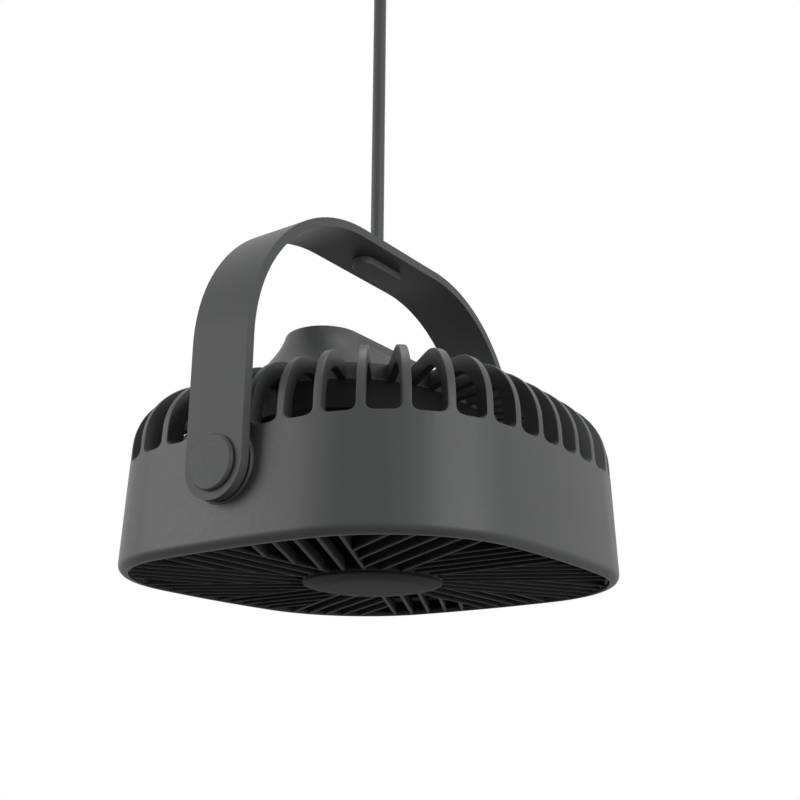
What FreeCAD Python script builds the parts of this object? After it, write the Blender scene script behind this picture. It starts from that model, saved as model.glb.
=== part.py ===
import FreeCAD, Part
import math
import os
import re

import Sketcher
from FreeCAD import Vector

# Portable camping fan that hangs by a rod: a rounded-square housing with a slotted grille
# below and a ribbed cage above, carried between the legs of a flat U-shaped handle.
# Millimetres. +Z is up, the fan's axis is Z, the handle's pivot axis is parallel to X, and
# z = 0 is the lowest point, the face of the hub cap in the middle of the grille.

SIZES = [
    ("hub_drop", 2.5, "how far the hub cap stands below the rim of the housing"),
    ("half_width", 95.4, "half the width of the housing at its rim, across its flats"),
    ("side_radius", 420, "bulge of the housing's four sides"),
    ("corner_radius", 62, "plan radius of the housing's four corners"),
    ("draft", 2.3, "how far the side walls lean inwards as they rise, degrees"),
    ("wall", 3.0, "thickness of the housing's side wall"),
    ("lip_width", 4.4, "width of the rim that holds the grille"),
    ("lip_height", 6.0, "height of that rim"),
    ("rim_fillet", 3.6, "rounding of the housing's bottom edge"),
    ("wall_height", 45.2, "rim to the sills of the vents"),
    ("sill_depth", 4.0, "height of the thick band under the sills"),
    ("crown_height", 78, "rim to the top of the ribs"),
    ("shoulder_radius", 26, "rounding of the ribs from wall to top"),
    ("rib_depth", 7.0, "depth of a rib, outside to inside"),
    ("rib_width", 3.4, "thickness of a rib"),
    ("rib_count", 39, "ribs around the cage"),
    ("rib_phase", 269.4, "direction of one rib, degrees"),
    ("vent_corner", 3.0, "rounding of the vents' lower corners"),
    ("vent_reach", 36, "where the slots between the ribs begin, from the axis"),
    ("skirt_half_length", 66, "half length of the pod's foot, along X"),
    ("skirt_half_width", 50, "half width of the pod's foot"),
    ("pod_half_length", 53.5, "half length of the pod's top, along X"),
    ("pod_half_width", 17, "half width of the pod's top"),
    ("pod_height", 22.5, "height of the pod above the ribs"),
    ("pod_wall", 2.4, "wall of the pod"),
    ("flare_power", 1.6, "how sharply the pod's sides sweep out"),
    ("boss_radius", 15, "round pad under each handle leg"),
    ("boss_stand", 1.2, "how far that pad stands out from the wall"),
    ("nut_boss_depth", 2.4, "how far the boss stands in behind the wall"),
    ("nut_boss_radius", 9, "radius of the boss inside the wall"),
    ("pivot_height", 31.2, "rim to the pivot axis"),
    ("leg_gap", 0.3, "gap between washer and leg"),
    ("band_thickness", 4.0, "thickness of the handle band"),
    ("band_width", 28.8, "width of the handle band"),
    ("band_rise", 148.3, "rim to the underside of the handle"),
    ("band_corner", 72, "outer radius of the handle's two bends"),
    ("band_edge", 0.5, "small rounding of the band's edges"),
    ("slot_length", 26, "slot in the middle of the band"),
    ("slot_width", 8.4, "width of that slot"),
    ("fit_gap", 0.3, "gap between parts that move past each other"),
    ("screw_radius", 3.0, "shank of the pivot screws"),
    ("bore_gap", 0.05, "radial gap of a turning fit"),
    ("screw_head_radius", 6.2, "head of the pivot screws"),
    ("screw_head_height", 1.7, "height of that head"),
    ("nut_radius", 5.6, "nut of the pivot screws, across its corners"),
    ("nut_height", 3.0, "height of that nut"),
    ("screw_tail", 1.0, "screw beyond its nut"),
    ("washer_radius", 12, "friction washer between pad and leg"),
    ("washer_height", 0.5, "its thickness"),
    ("bush_radius", 5.0, "outside of the bush in each leg"),
    ("bush_flange", 6.6, "radius of its flange"),
    ("bush_flange_height", 0.55, "thickness of its flange"),
    ("leg_floor", 1.4, "what the counterbore leaves of the leg"),
    ("counterbore_radius", 8.0, "counterbore for screw head and cap"),
    ("cap_radius", 10.9, "round cover over each pivot"),
    ("cap_height", 1.8, "how far the cover stands proud"),
    ("cap_edge", 0.8, "rounding of its edge"),
    ("cap_ring", 1.1, "wall of the ring that plugs the cover in"),
    ("cap_plug_depth", 1.7, "depth of that ring in the leg"),
    ("grille_gap", 0.2, "gap between grille frame and lip"),
    ("grille_recess", 0.3, "rim to the lower face of the bars"),
    ("bar_depth", 4.5, "height of the bars"),
    ("bar_width", 1.6, "thickness of the bars"),
    ("bar_pitch", 8.67, "spacing of the bars"),
    ("bar_offset", -0.2, "first bar of a sector, from the axis"),
    ("sector_count", 12, "sectors of the grille"),
    ("frame_width", 1.8, "width of the grille's outer frame"),
    ("frame_step", 0.9, "frame's lower face above the bars' lower face"),
    ("hub_ring", 30.3, "radius of the disc in the middle of the grille"),
    ("hub_radius", 29.9, "radius of the hub cap"),
    ("hub_flat", 23.6, "radius of its nearly flat middle"),
    ("hub_crown", 0.3, "how much that middle is domed"),
    ("hub_slope", 1.5, "height to which its sloping border rises"),
    ("hub_bevel", 2.2, "height of its bevelled edge"),
    ("duct_clearance", 1.0, "gap between a pivot screw and the duct"),
    ("duct_wall", 2.0, "wall of the duct"),
    ("duct_top", 54, "top of the duct"),
    ("duct_flange", 2.0, "plate that closes the corners round the duct"),
    ("duct_gap", 0.4, "gap between that plate and the wall"),
    ("tub_depth", 12, "depth of the tub under the pod"),
    ("tub_floor", 2.4, "floor of the tub"),
    ("post_radius", 3.4, "screw posts of the tub"),
    ("post_inset", 7, "screw posts, in from the skirt"),
    ("small_screw", 1.5, "shank radius of the small screws"),
    ("small_head", 2.7, "head radius of the small screws"),
    ("small_head_height", 1.8, "head height of the small screws"),
    ("small_screw_reach", 9, "length of the small screws below the head"),
    ("small_bite", 0.2, "what the thread cuts into the post, radially"),
    ("motor_flange_radius", 16, "flange of the motor's base"),
    ("motor_flange_height", 2.5, "its thickness"),
    ("motor_screw_circle", 11.5, "radius of the circle of motor screws"),
    ("tube_radius", 5.5, "bearing tube of the motor"),
    ("bearing_radius", 4.0, "outside of the two ball bearings"),
    ("bearing_height", 3.0, "width of one bearing"),
    ("shaft_radius", 1.5, "motor shaft"),
    ("shaft_nose", 7.5, "shaft beyond the rotor"),
    ("stator_radius", 17.8, "outside of the stator"),
    ("stator_height", 14, "height of the stator"),
    ("stator_core", 9.2, "radius of its solid middle"),
    ("tooth_width", 3.0, "width of its teeth"),
    ("tooth_count", 9, "teeth of the stator"),
    ("coil_gap", 0.1, "gap between a coil and its tooth"),
    ("coil_wall", 1.0, "thickness of a coil"),
    ("air_gap", 0.5, "stator to magnets"),
    ("magnet_wall", 2.2, "thickness of the magnet ring"),
    ("rotor_wall", 1.0, "wall of the rotor cup"),
    ("rotor_height", 21.5, "height of the rotor cup"),
    ("rotor_floor", 2.0, "its end disc"),
    ("rotor_gap", 4.5, "rotor cup to motor flange"),
    ("impeller_hub_wall", 3.5, "wall of the impeller's hub"),
    ("impeller_floor", 2.1, "end disc of the impeller's hub"),
    ("blade_count", 7, "blades of the impeller"),
    ("tip_gap", 2.4, "gap between blades and duct"),
    ("blade_thickness", 1.8, "thickness of a blade"),
    ("root_chord", 24, "width of a blade at its root"),
    ("tip_chord", 34, "width of a blade at its tip"),
    ("root_pitch", 42, "angle of a blade at its root, degrees"),
    ("tip_pitch", 24, "angle of a blade at its tip, degrees"),
    ("clip_radius", 4.5, "nut that holds the impeller on the shaft"),
    ("clip_height", 4.0, "its height"),
    ("cell_radius", 9.2, "battery cell"),
    ("cell_length", 65, "battery cell"),
    ("cell_gap", 0.4, "gap between the two cells"),
    ("tray_floor", 1.6, "floor of the battery tray"),
    ("tray_wall", 2.0, "walls of the battery tray"),
    ("tray_side", 9, "height of the tray's long walls"),
    ("stand_width", 16, "width of the tray's end walls that carry the board"),
    ("board_drop", 6.9, "pod top down to the top of the board"),
    ("board_thickness", 1.6, "circuit board"),
    ("board_half_length", 44, "circuit board"),
    ("board_half_width", 12, "circuit board"),
    ("board_tongue", 6, "tongue of the board under the charging socket"),
    ("switch_height", 3.1, "height of a push switch"),
    ("switch_side", 6.0, "side of a push switch"),
    ("button_radius", 4.5, "radius of the two buttons"),
    ("button_flange", 5.6, "radius of their flanges"),
    ("button_flange_height", 1.0, "thickness of the flanges"),
    ("button_proud", 1.0, "how far a button stands above the pod"),
    ("button_gap", 0.25, "gap round a button"),
    ("button_play", 0.2, "flange to the underside of the cover"),
    ("power_button_x", -38, "place of the first button"),
    ("speed_button_x", -22, "place of the second button"),
    ("cover_inset", 5.0, "pod's edge to the cover's edge"),
    ("cover_thickness", 1.8, "cover on the pod"),
    ("cover_gap", 0.15, "gap round the cover"),
    ("cover_ledge", 1.8, "ledge that carries the cover"),
    ("window_x", 6, "place of the charge display"),
    ("window_length", 18, "length of the charge display"),
    ("window_width", 3.2, "width of the charge display"),
    ("window_gap", 0.1, "gap round the charge display"),
    ("led_count", 4, "lamps of the charge display"),
    ("led_side", 2.0, "side of one of them"),
    ("led_height", 1.0, "height of one of them"),
    ("socket_length", 9.0, "charging socket"),
    ("socket_width", 9.0, "charging socket"),
    ("socket_height", 3.3, "charging socket"),
    ("socket_wall", 0.3, "shell of the charging socket"),
    ("socket_mouth", 53.0, "mouth of the charging socket, from the axis"),
    ("socket_gap", 0.4, "gap round the socket's mouth in the pod"),
    ("foot_half_length", 15, "foot of the rod under the band"),
    ("foot_half_width", 5.5, "its half width"),
    ("foot_height", 2.8, "height of its block"),
    ("foot_cover_height", 1.0, "plate that closes it"),
    ("tongue_half_length", 6.0, "tongue of the foot in the slot"),
    ("tongue_gap", 0.2, "gap between tongue and slot"),
    ("tongue_height", 3.8, "height of the tongue"),
    ("rod_radius", 3.1, "hanging rod"),
    ("rod_gap", 0.1, "radial gap round the rod in the foot"),
    ("rod_head_radius", 4.3, "head of the rod, inside the foot"),
    ("rod_head_height", 1.3, "its height"),
    ("head_pocket_gap", 0.3, "gap round that head"),
    ("rod_length", 168, "rod above the band, to the top of its thread"),
    ("eye_socket", 12, "how deep the rod is screwed into the eye"),
    ("eye_shank_radius", 4.8, "shank of the hanging eye"),
    ("eye_shank_length", 18, "length of the shank"),
    ("eye_bore", 5.5, "radius of the hole in the eye"),
    ("eye_radius", 11, "outer radius of the eye"),
    ("eye_thickness", 6, "thickness of the eye"),
]

NAMES = [name for name, value, note in SIZES]
WORD = re.compile(r"\b(" + "|".join(NAMES) + r")\b")

doc = FreeCAD.newDocument("camping_fan")
sheet = doc.addObject("Spreadsheet::Sheet", "Sizes")
for row, (name, value, note) in enumerate(SIZES, start=1):
    sheet.set(f"A{row}", name)
    sheet.set(f"B{row}", str(value))
    sheet.set(f"C{row}", note)
    sheet.setAlias(f"B{row}", name)
doc.recompute()

# Heights that several parts share, written as expressions of the sheet's cells.
RIM = "hub_drop"
SILL = "hub_drop + wall_height"
CROWN = "hub_drop + crown_height"
SKIRT = "(hub_drop + crown_height - rib_depth)"
POD_TOP = "(hub_drop + crown_height + pod_height)"
PIVOT = "(hub_drop + pivot_height)"
WALL_AT_PIVOT = "(half_width - pivot_height * tan(draft))"
BOSS_FACE = f"({WALL_AT_PIVOT} + boss_stand)"
LEG_INNER = f"({BOSS_FACE} + washer_height + leg_gap)"
LEG_OUTER = f"({LEG_INNER} + band_thickness)"
NUT_SEAT = f"({WALL_AT_PIVOT} - wall - nut_boss_depth)"
SCREW_END = f"({NUT_SEAT} - nut_height - screw_tail)"
DUCT_RADIUS = f"({SCREW_END} - duct_clearance - duct_wall)"
BLADE_TIP = f"({DUCT_RADIUS} - tip_gap)"
BAND_UNDER = "(hub_drop + band_rise)"
BAND_TOP = "(hub_drop + band_rise + band_thickness)"
GRILLE_FACE = "(hub_drop + grille_recess)"
FRAME_TOP = "(hub_drop + lip_height)"
TUB_BASE = "(hub_drop + crown_height - rib_depth - tub_depth)"
MOTOR_FACE = f"({TUB_BASE} - motor_flange_height)"
ROTOR_TOP = f"({MOTOR_FACE} - rotor_gap)"
ROTOR_BASE = f"({ROTOR_TOP} - rotor_height)"
STATOR_TOP = f"({ROTOR_TOP} - 1)"
BOARD_TOP = f"({POD_TOP} - board_drop)"
COVER_UNDER = f"({POD_TOP} - cover_thickness)"
TRAY_BASE = f"({TUB_BASE} + tub_floor)"
CELL_AXIS = f"({TRAY_BASE} + tray_floor + cell_radius)"
FOOT_TOP = f"({BAND_UNDER} - fit_gap)"
FOOT_SEAM = f"({FOOT_TOP} - foot_height)"
HEAD_TOP = f"({FOOT_SEAM} + rod_head_height + head_pocket_gap)"
ROD_TOP = f"({BAND_TOP} + rod_length)"
EYE_BASE = f"({ROD_TOP} - eye_socket)"
EYE_CENTRE = f"({ROD_TOP} - eye_socket + eye_shank_length + eye_radius - 2)"

parts = {}


def cell(text):
    """Turn the names of sizes in an expression into references to the sheet."""
    return WORD.sub(r"Sizes.\1", str(text))


def size(name):
    """The number that a cell holds."""
    return float(sheet.get(name))


def bind(thing, path, text):
    """Bind one property of an object to an expression of the sheet."""
    thing.setExpression(path, cell(text))


def keep(name, thing):
    """Give a finished sub-part its name and list it for writing."""
    thing.Label = name
    parts[name] = thing
    return thing


# Sketches and features of a body


def new_body(name):
    """A body that holds one sub-part or one tool for cutting."""
    return doc.addObject("PartDesign::Body", name)


def origin_part(body, role):
    """One of the body's own origin planes or axes."""
    for feature in body.Origin.OriginFeatures:
        if feature.Role == role:
            return feature
    raise ValueError(role)


def sketch_on(body, plane, lift="0", shift="0"):
    """A sketch on an origin plane, lifted along its normal and shifted along its own Y."""
    made = body.newObject("Sketcher::SketchObject", body.Name + "_sketch")
    made.AttachmentSupport = [(origin_part(body, plane), "")]
    made.MapMode = "FlatFace"
    bind(made, "AttachmentOffset.Base.z", lift)
    bind(made, "AttachmentOffset.Base.y", shift)
    return made


def hold_point(made, geometry, end, x, y):
    """Hold a point of the sketch at two expressions, or on an axis where one is 0."""
    for kind, text, axis in (("DistanceX", x, -2), ("DistanceY", y, -1)):
        if text == "0":
            made.addConstraint(Sketcher.Constraint("PointOnObject", geometry, end, axis))
        else:
            number = made.addConstraint(Sketcher.Constraint(kind, -1, 1, geometry, end, 1.0))
            bind(made, f"Constraints[{number}]", text)


def polygon(made, corners):
    """A closed polygon whose corners stand at pairs of expressions."""
    count = len(corners)
    seeds = []
    for index in range(count):
        turn = 2 * math.pi * index / count
        seeds.append(Vector(20 + 10 * math.cos(turn), 20 + 10 * math.sin(turn), 0))
    first = made.GeometryCount
    for index in range(count):
        line = Part.LineSegment(seeds[index], seeds[(index + 1) % count])
        made.addGeometry(line, False)
    for index in range(count):
        after = first + (index + 1) % count
        made.addConstraint(Sketcher.Constraint("Coincident", first + index, 2, after, 1))
    for index, (x, y) in enumerate(corners):
        hold_point(made, first + index, 1, x, y)
    return made


def rectangle(made, x_low, x_high, y_low, y_high):
    """A rectangle between four expressions."""
    corners = [(x_low, y_low), (x_high, y_low), (x_high, y_high), (x_low, y_high)]
    return polygon(made, corners)


def circle(made, radius, x="0", y="0"):
    """A circle held by its centre and its radius."""
    number = made.addGeometry(Part.Circle(Vector(1, 1, 0), Vector(0, 0, 1), 5), False)
    hold_point(made, number, 3, x, y)
    radius_number = made.addConstraint(Sketcher.Constraint("Radius", number, 5.0))
    bind(made, f"Constraints[{radius_number}]", radius)
    return made


def bulged_square(made, inset):
    """The housing's plan, drawn in by an inset: four long arcs and four round corners."""
    away = size("side_radius") - size("half_width")
    between = size("side_radius") - size("corner_radius")
    reach = (math.sqrt(2 * between * between - away * away) - away) / 2
    half_angle = math.atan2(reach, reach + away)
    for side in range(4):
        turn = side * math.pi / 2
        centre = Vector(-away * math.cos(turn), -away * math.sin(turn), 0)
        whole = Part.Circle(centre, Vector(0, 0, 1), size("side_radius"))
        made.addGeometry(Part.ArcOfCircle(whole, turn - half_angle, turn + half_angle), False)
        along = turn + math.pi / 4
        far = reach * math.sqrt(2)
        centre = Vector(far * math.cos(along), far * math.sin(along), 0)
        whole = Part.Circle(centre, Vector(0, 0, 1), size("corner_radius"))
        corner = Part.ArcOfCircle(whole, turn + half_angle, turn + math.pi / 2 - half_angle)
        made.addGeometry(corner, False)
    for index in range(8):
        made.addConstraint(Sketcher.Constraint("Tangent", index, 2, (index + 1) % 8, 1))
    offset = "side_radius - half_width"
    centres = [(f"-({offset})", "0"), ("0", f"-({offset})"), (offset, "0"), ("0", offset)]
    for side, (x, y) in enumerate(centres):
        hold_point(made, 2 * side, 3, x, y)
    for first, radius in ((0, "side_radius"), (1, "corner_radius")):
        number = made.addConstraint(Sketcher.Constraint("Radius", first, size(radius)))
        bind(made, f"Constraints[{number}]", f"{radius} - ({inset})")
        for side in range(1, 4):
            made.addConstraint(Sketcher.Constraint("Equal", first, first + 2 * side))
    return made


def stadium(made, half_length, half_width):
    """A stadium along X: two straight sides and two round ends."""
    left = Part.Circle(Vector(-20, 0, 0), Vector(0, 0, 1), 10)
    right = Part.Circle(Vector(20, 0, 0), Vector(0, 0, 1), 10)
    made.addGeometry(Part.ArcOfCircle(right, -math.pi / 2, math.pi / 2), False)
    made.addGeometry(Part.LineSegment(Vector(20, 10, 0), Vector(-20, 10, 0)), False)
    made.addGeometry(Part.ArcOfCircle(left, math.pi / 2, 3 * math.pi / 2), False)
    made.addGeometry(Part.LineSegment(Vector(-20, -10, 0), Vector(20, -10, 0)), False)
    for index in range(4):
        made.addConstraint(Sketcher.Constraint("Tangent", index, 2, (index + 1) % 4, 1))
    away = f"({half_length}) - ({half_width})"
    hold_point(made, 0, 3, away, "0")
    hold_point(made, 2, 3, f"-({away})", "0")
    made.addConstraint(Sketcher.Constraint("Equal", 0, 2))
    number = made.addConstraint(Sketcher.Constraint("Radius", 0, 10.0))
    bind(made, f"Constraints[{number}]", half_width)
    return made


def pad(body, made, length, middle=False, taper=None):
    """Pad a sketch along its normal, or half to each side, with or without a taper."""
    feature = body.newObject("PartDesign::Pad", body.Name + "_pad")
    feature.Profile = made
    bind(feature, "Length", length)
    if middle:
        feature.SideType = "Symmetric"
    if taper:
        bind(feature, "TaperAngle", taper)
    made.Visibility = False
    body.Tip = feature
    doc.recompute()
    return feature


def turn(body, made, axis):
    """Revolve a sketch about its own vertical or horizontal axis."""
    feature = body.newObject("PartDesign::Revolution", body.Name + "_turn")
    feature.Profile = made
    feature.ReferenceAxis = (made, [axis])
    feature.Angle = 360
    body.Tip = feature
    doc.recompute()
    return feature


def round_edges(body, radius, wanted):
    """Fillet the edges of the body's tip that a test picks out."""
    base = body.Tip
    names = []
    for index, edge in enumerate(base.Shape.Edges, start=1):
        if wanted(edge):
            names.append(f"Edge{index}")
    feature = body.newObject("PartDesign::Fillet", body.Name + "_fillet")
    feature.Base = (base, names)
    bind(feature, "Radius", radius)
    body.Tip = feature
    doc.recompute()
    return feature


def at_height(level):
    """A test for edges that lie flat at one height."""

    def lies_there(edge):
        box = edge.BoundBox
        return box.ZLength < 1e-4 and abs(box.ZMin - level) < 1e-4

    return lies_there


def square_block(name, inset, low, high):
    """A block with the housing's plan and draft, drawn in by an inset, between two heights."""
    body = new_body(name)
    drawn_in = f"({inset}) + (({low}) - {RIM}) * tan(draft)"
    made = bulged_square(sketch_on(body, "XY_Plane", low), drawn_in)
    pad(body, made, f"({high}) - ({low})", taper="-draft")
    return body


def turned_z(name, profile):
    """A part turned about Z, from pairs of radius and height."""
    body = new_body(name)
    turn(body, polygon(sketch_on(body, "XZ_Plane"), profile), "V_Axis")
    return body


def turned_x(name, side, profile):
    """A part turned about the pivot axis, from pairs of distance along X and radius."""
    body = new_body(name)
    corners = [(f"{side} * ({x})", radius) for x, radius in profile]
    turn(body, polygon(sketch_on(body, "XZ_Plane", shift=PIVOT), corners), "H_Axis")
    return body


def ring_profile(inner, outer, low, high):
    """The section of a plain ring or tube."""
    return [(inner, low), (outer, low), (outer, high), (inner, high)]


def stadium_block(name, half_length, half_width, low, high):
    """A block with a stadium plan between two heights."""
    body = new_body(name)
    made = stadium(sketch_on(body, "XY_Plane", low), half_length, half_width)
    pad(body, made, f"({high}) - ({low})")
    return body


# Primitives and booleans


def box(name, x_low, x_high, y_low, y_high, z_low, z_high):
    """A box between six expressions."""
    made = doc.addObject("Part::Box", name)
    limits = ((x_low, x_high, "x", "Length"), (y_low, y_high, "y", "Width"),
              (z_low, z_high, "z", "Height"))
    for low, high, axis, side in limits:
        bind(made, side, f"({high}) - ({low})")
        bind(made, f"Placement.Base.{axis}", low)
    return made


def cylinder(name, radius, low, high, x="0", y="0"):
    """An upright cylinder between two heights."""
    made = doc.addObject("Part::Cylinder", name)
    bind(made, "Radius", radius)
    bind(made, "Height", f"({high}) - ({low})")
    bind(made, "Placement.Base.x", x)
    bind(made, "Placement.Base.y", y)
    bind(made, "Placement.Base.z", low)
    return made


def cylinder_x(name, radius, low, high, z=PIVOT, y="0"):
    """A cylinder along X between two distances from the axis."""
    made = doc.addObject("Part::Cylinder", name)
    made.Placement = FreeCAD.Placement(Vector(), FreeCAD.Rotation(Vector(0, 1, 0), 90))
    bind(made, "Radius", radius)
    bind(made, "Height", f"({high}) - ({low})")
    bind(made, "Placement.Base.x", low)
    bind(made, "Placement.Base.y", y)
    bind(made, "Placement.Base.z", z)
    return made


def boolean(kind, name, base, tool):
    """A cut, fusion or common of two objects."""
    made = doc.addObject(f"Part::{kind}", name)
    made.Base = base
    made.Tool = tool
    doc.recompute()
    return made


def fuse_all(name, things):
    """One fusion of several objects."""
    made = doc.addObject("Part::MultiFuse", name)
    made.Shapes = things
    doc.recompute()
    return made


def copies(name, source, count, start=0.0):
    """Even copies of a shape about Z, as one object."""
    made = doc.addObject("Part::Feature", name)
    shapes = []
    for index in range(count):
        copy = source.Shape.copy()
        copy.rotate(Vector(), Vector(0, 0, 1), start + index * 360.0 / count)
        shapes.append(copy)
    made.Shape = Part.makeCompound(shapes)
    return made


def group(name, things):
    """Several solids that share one node."""
    made = doc.addObject("Part::Compound", name)
    made.Links = things
    doc.recompute()
    return made


# Rear shell: side wall, ribbed cage, pod and pivot bosses, one moulding


def pod_sections(inset):
    """Half length, half width and height of the pod's outline, from foot to top."""
    sections = []
    for share in (1.0, 0.75, 0.5, 0.25, 0.0):
        bend = f"({share} ^ flare_power)" if share else "0"
        length = f"pod_half_length + (skirt_half_length - pod_half_length) * {bend} - ({inset})"
        width = f"pod_half_width + (skirt_half_width - pod_half_width) * {bend} - ({inset})"
        sections.append((length, width, share))
    return sections


def pod_solid(name, inset, foot, top):
    """The pod's body: an upright foot, and sides that sweep in to its narrow top."""
    body = new_body(name)
    sections = pod_sections(inset)
    length, width, share = sections[0]
    made = stadium(sketch_on(body, "XY_Plane", foot), length, width)
    pad(body, made, f"({CROWN}) - ({foot})")
    outlines = []
    for length, width, share in sections:
        height = f"({top}) - (({top}) - ({CROWN})) * {share}"
        outlines.append(stadium(sketch_on(body, "XY_Plane", height), length, width))
    loft = body.newObject("PartDesign::AdditiveLoft", name + "_loft")
    loft.Profile = outlines[0]
    loft.Sections = outlines[1:]
    loft.Ruled = False
    body.Tip = loft
    doc.recompute()
    return body


def vent_cutter():
    """What is cut between two ribs: a wedge with parallel ribs left on both sides."""
    body = new_body("vent_cutter")
    half_pitch = "(180 / rib_count)"
    outside = "(half_width * 1.5)"
    middle = "(half_width - shoulder_radius)"

    def side(distance):
        return f"({distance}) * tan({half_pitch}) - rib_width / 2 / cos({half_pitch})"

    def wedge(near, low):
        corners = [(near, f"-({side(near)})"), (outside, f"-({side(outside)})"),
                   (outside, side(outside)), (near, side(near))]
        made = polygon(sketch_on(body, "XY_Plane", low), corners)
        pad(body, made, f"{CROWN} + 5 - ({low})")

    wedge(middle, SILL)
    sill = size("hub_drop") + size("wall_height")

    def long_sill_edge(edge):
        bounds = edge.BoundBox
        return at_height(sill)(edge) and bounds.XLength > bounds.YLength

    round_edges(body, "vent_corner", long_sill_edge)
    wedge("vent_reach", f"{SKIRT} - rib_depth")
    return body


def screw_posts():
    """Directions of the four screw posts, as places on the round ends of the skirt."""
    reach = "(skirt_half_width - post_inset) * 0.7071"
    along = f"(skirt_half_length - skirt_half_width + {reach})"
    places = []
    for x_side in (1, -1):
        for y_side in (1, -1):
            places.append((f"{x_side} * {along}", f"{y_side} * {reach}"))
    return places


def build_rear_shell():
    """The one moulding that carries everything else."""
    outer = square_block("shell_outer", "0", RIM, CROWN)
    crown = size("hub_drop") + size("crown_height")
    round_edges(outer, "shoulder_radius", at_height(crown))
    round_edges(outer, "rim_fillet", at_height(size("hub_drop")))

    mouth = square_block("shell_mouth", "lip_width", f"{RIM} - 1", f"{FRAME_TOP} + 1")
    low = square_block("shell_low_cavity", "wall", FRAME_TOP, f"{SILL} - sill_depth")
    high = square_block("shell_high_cavity", "rib_depth", f"{SILL} - sill_depth - 1", SKIRT)
    roof = size("hub_drop") + size("crown_height") - size("rib_depth")
    round_edges(high, "shoulder_radius - rib_depth", at_height(roof))
    cavity = fuse_all("shell_cavity", [mouth, low, high])
    cage = boolean("Cut", "shell_cage", outer, cavity)

    half_pitch = 180.0 / size("rib_count")
    phase = size("rib_phase") + half_pitch
    vents = copies("shell_vents", vent_cutter(), int(size("rib_count")), phase)
    ribbed = boolean("Cut", "shell_ribbed", cage, vents)

    pod_outer = pod_solid("pod_outer", "0", SKIRT, POD_TOP)
    pod_inner = pod_solid("pod_inner", "pod_wall", f"{SKIRT} - 1", f"{POD_TOP} - pod_wall")
    inside = f"({WALL_AT_PIVOT} - wall / 2)"
    pads = []
    for name, pad_low, pad_high, nut_low, nut_high in (
            ("right", inside, BOSS_FACE, NUT_SEAT, inside),
            ("left", f"-{BOSS_FACE}", f"-{inside}", f"-{inside}", f"-{NUT_SEAT}")):
        pads.append(cylinder_x(f"boss_{name}", "boss_radius", pad_low, pad_high))
        pads.append(cylinder_x(f"nut_boss_{name}", "nut_boss_radius", nut_low, nut_high))
    joined = fuse_all("shell_joined", [ribbed, pod_outer] + pads)
    hollow = boolean("Cut", "shell_hollow", joined, pod_inner)

    posts = []
    pilots = []
    for index, (x, y) in enumerate(screw_posts()):
        name = f"shell_post_{index}"
        post = cylinder(name, "post_radius", f"{TRAY_BASE} + 2", POD_TOP, x, y)
        posts.append(boolean("Common", name + "_trimmed", post, pod_space()))
        pilots.append(cylinder(name + "_pilot", "small_screw - small_bite",
                               f"{TRAY_BASE} + 1", f"{TRAY_BASE} + small_screw_reach", x, y))
    posted = fuse_all("shell_posted", [hollow] + posts)

    cuts = list(pilots)
    cuts.append(cylinder_x("pivot_bore", "screw_radius + bore_gap",
                           f"-({BOSS_FACE} + 1)", f"{BOSS_FACE} + 1"))
    cuts.append(stadium_block("cover_recess", "pod_half_length - cover_inset",
                              "pod_half_width - cover_inset", COVER_UNDER, f"{POD_TOP} + 1"))
    cuts.append(stadium_block("cover_opening", "pod_half_length - cover_inset - cover_ledge",
                              "pod_half_width - cover_inset - cover_ledge",
                              f"{POD_TOP} - pod_wall - 1", f"{POD_TOP} + 1"))
    cuts.append(box("socket_opening", "socket_mouth - 3", "skirt_half_length",
                    "-(socket_width / 2 + socket_gap)", "socket_width / 2 + socket_gap",
                    f"{BOARD_TOP} - socket_gap", f"{BOARD_TOP} + socket_height + socket_gap"))
    tools = fuse_all("shell_cuts", cuts)
    return keep("rear_shell", boolean("Cut", "rear_shell", posted, tools))


def pod_space():
    """The outer form of the pod and the tub below it, which trims the screw posts."""
    return pod_solid("post_space", "pod_wall / 2", f"{TUB_BASE} + tub_floor", POD_TOP)


# Front grille and hub cap


def build_grille():
    """Twelve sectors of five parallel bars between a hub disc and a square frame."""
    bars = new_body("grille_bars")
    sector = "(360 / sector_count)"
    made = sketch_on(bars, "XY_Plane", GRILLE_FACE)
    for index in range(5):
        across = f"(bar_offset + {index} * bar_pitch)"
        start = f"(({across} - bar_offset * cos({sector})) / tan({sector}))"
        near = start if index > 1 else "hub_ring * 0.6"
        rectangle(made, near, "half_width * 1.3", f"-{across} - bar_width / 2",
                  f"-{across} + bar_width / 2")
    pad(bars, made, "bar_depth")
    ring_of_bars = copies("grille_bar_ring", bars, int(size("sector_count")))

    inside = "lip_width + grille_gap"
    field = square_block("grille_field", f"{inside} + frame_width / 2", RIM, FRAME_TOP)
    trimmed = boolean("Common", "grille_trimmed", ring_of_bars, field)
    rim = square_block("grille_rim", inside, f"{GRILLE_FACE} + frame_step", FRAME_TOP)
    hole = square_block("grille_hole", f"{inside} + frame_width", f"{RIM} - 1", f"{FRAME_TOP} + 1")
    frame = boolean("Cut", "grille_frame", rim, hole)
    disc = cylinder("grille_disc", "hub_ring", GRILLE_FACE, f"{GRILLE_FACE} + bar_depth")
    return keep("front_grille", fuse_all("front_grille", [frame, disc, trimmed]))


def build_hub_cap():
    """Round cover in the middle of the grille, nearly flat with a bevelled edge."""
    profile = [("0", "0"), ("hub_flat", "hub_crown"), ("hub_radius - 0.9", "hub_slope"),
               ("hub_radius", "hub_bevel"), ("hub_radius", GRILLE_FACE), ("0", GRILLE_FACE)]
    return keep("hub_cap", turned_z("hub_cap", profile))


# Air path and the tub under the pod


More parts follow.
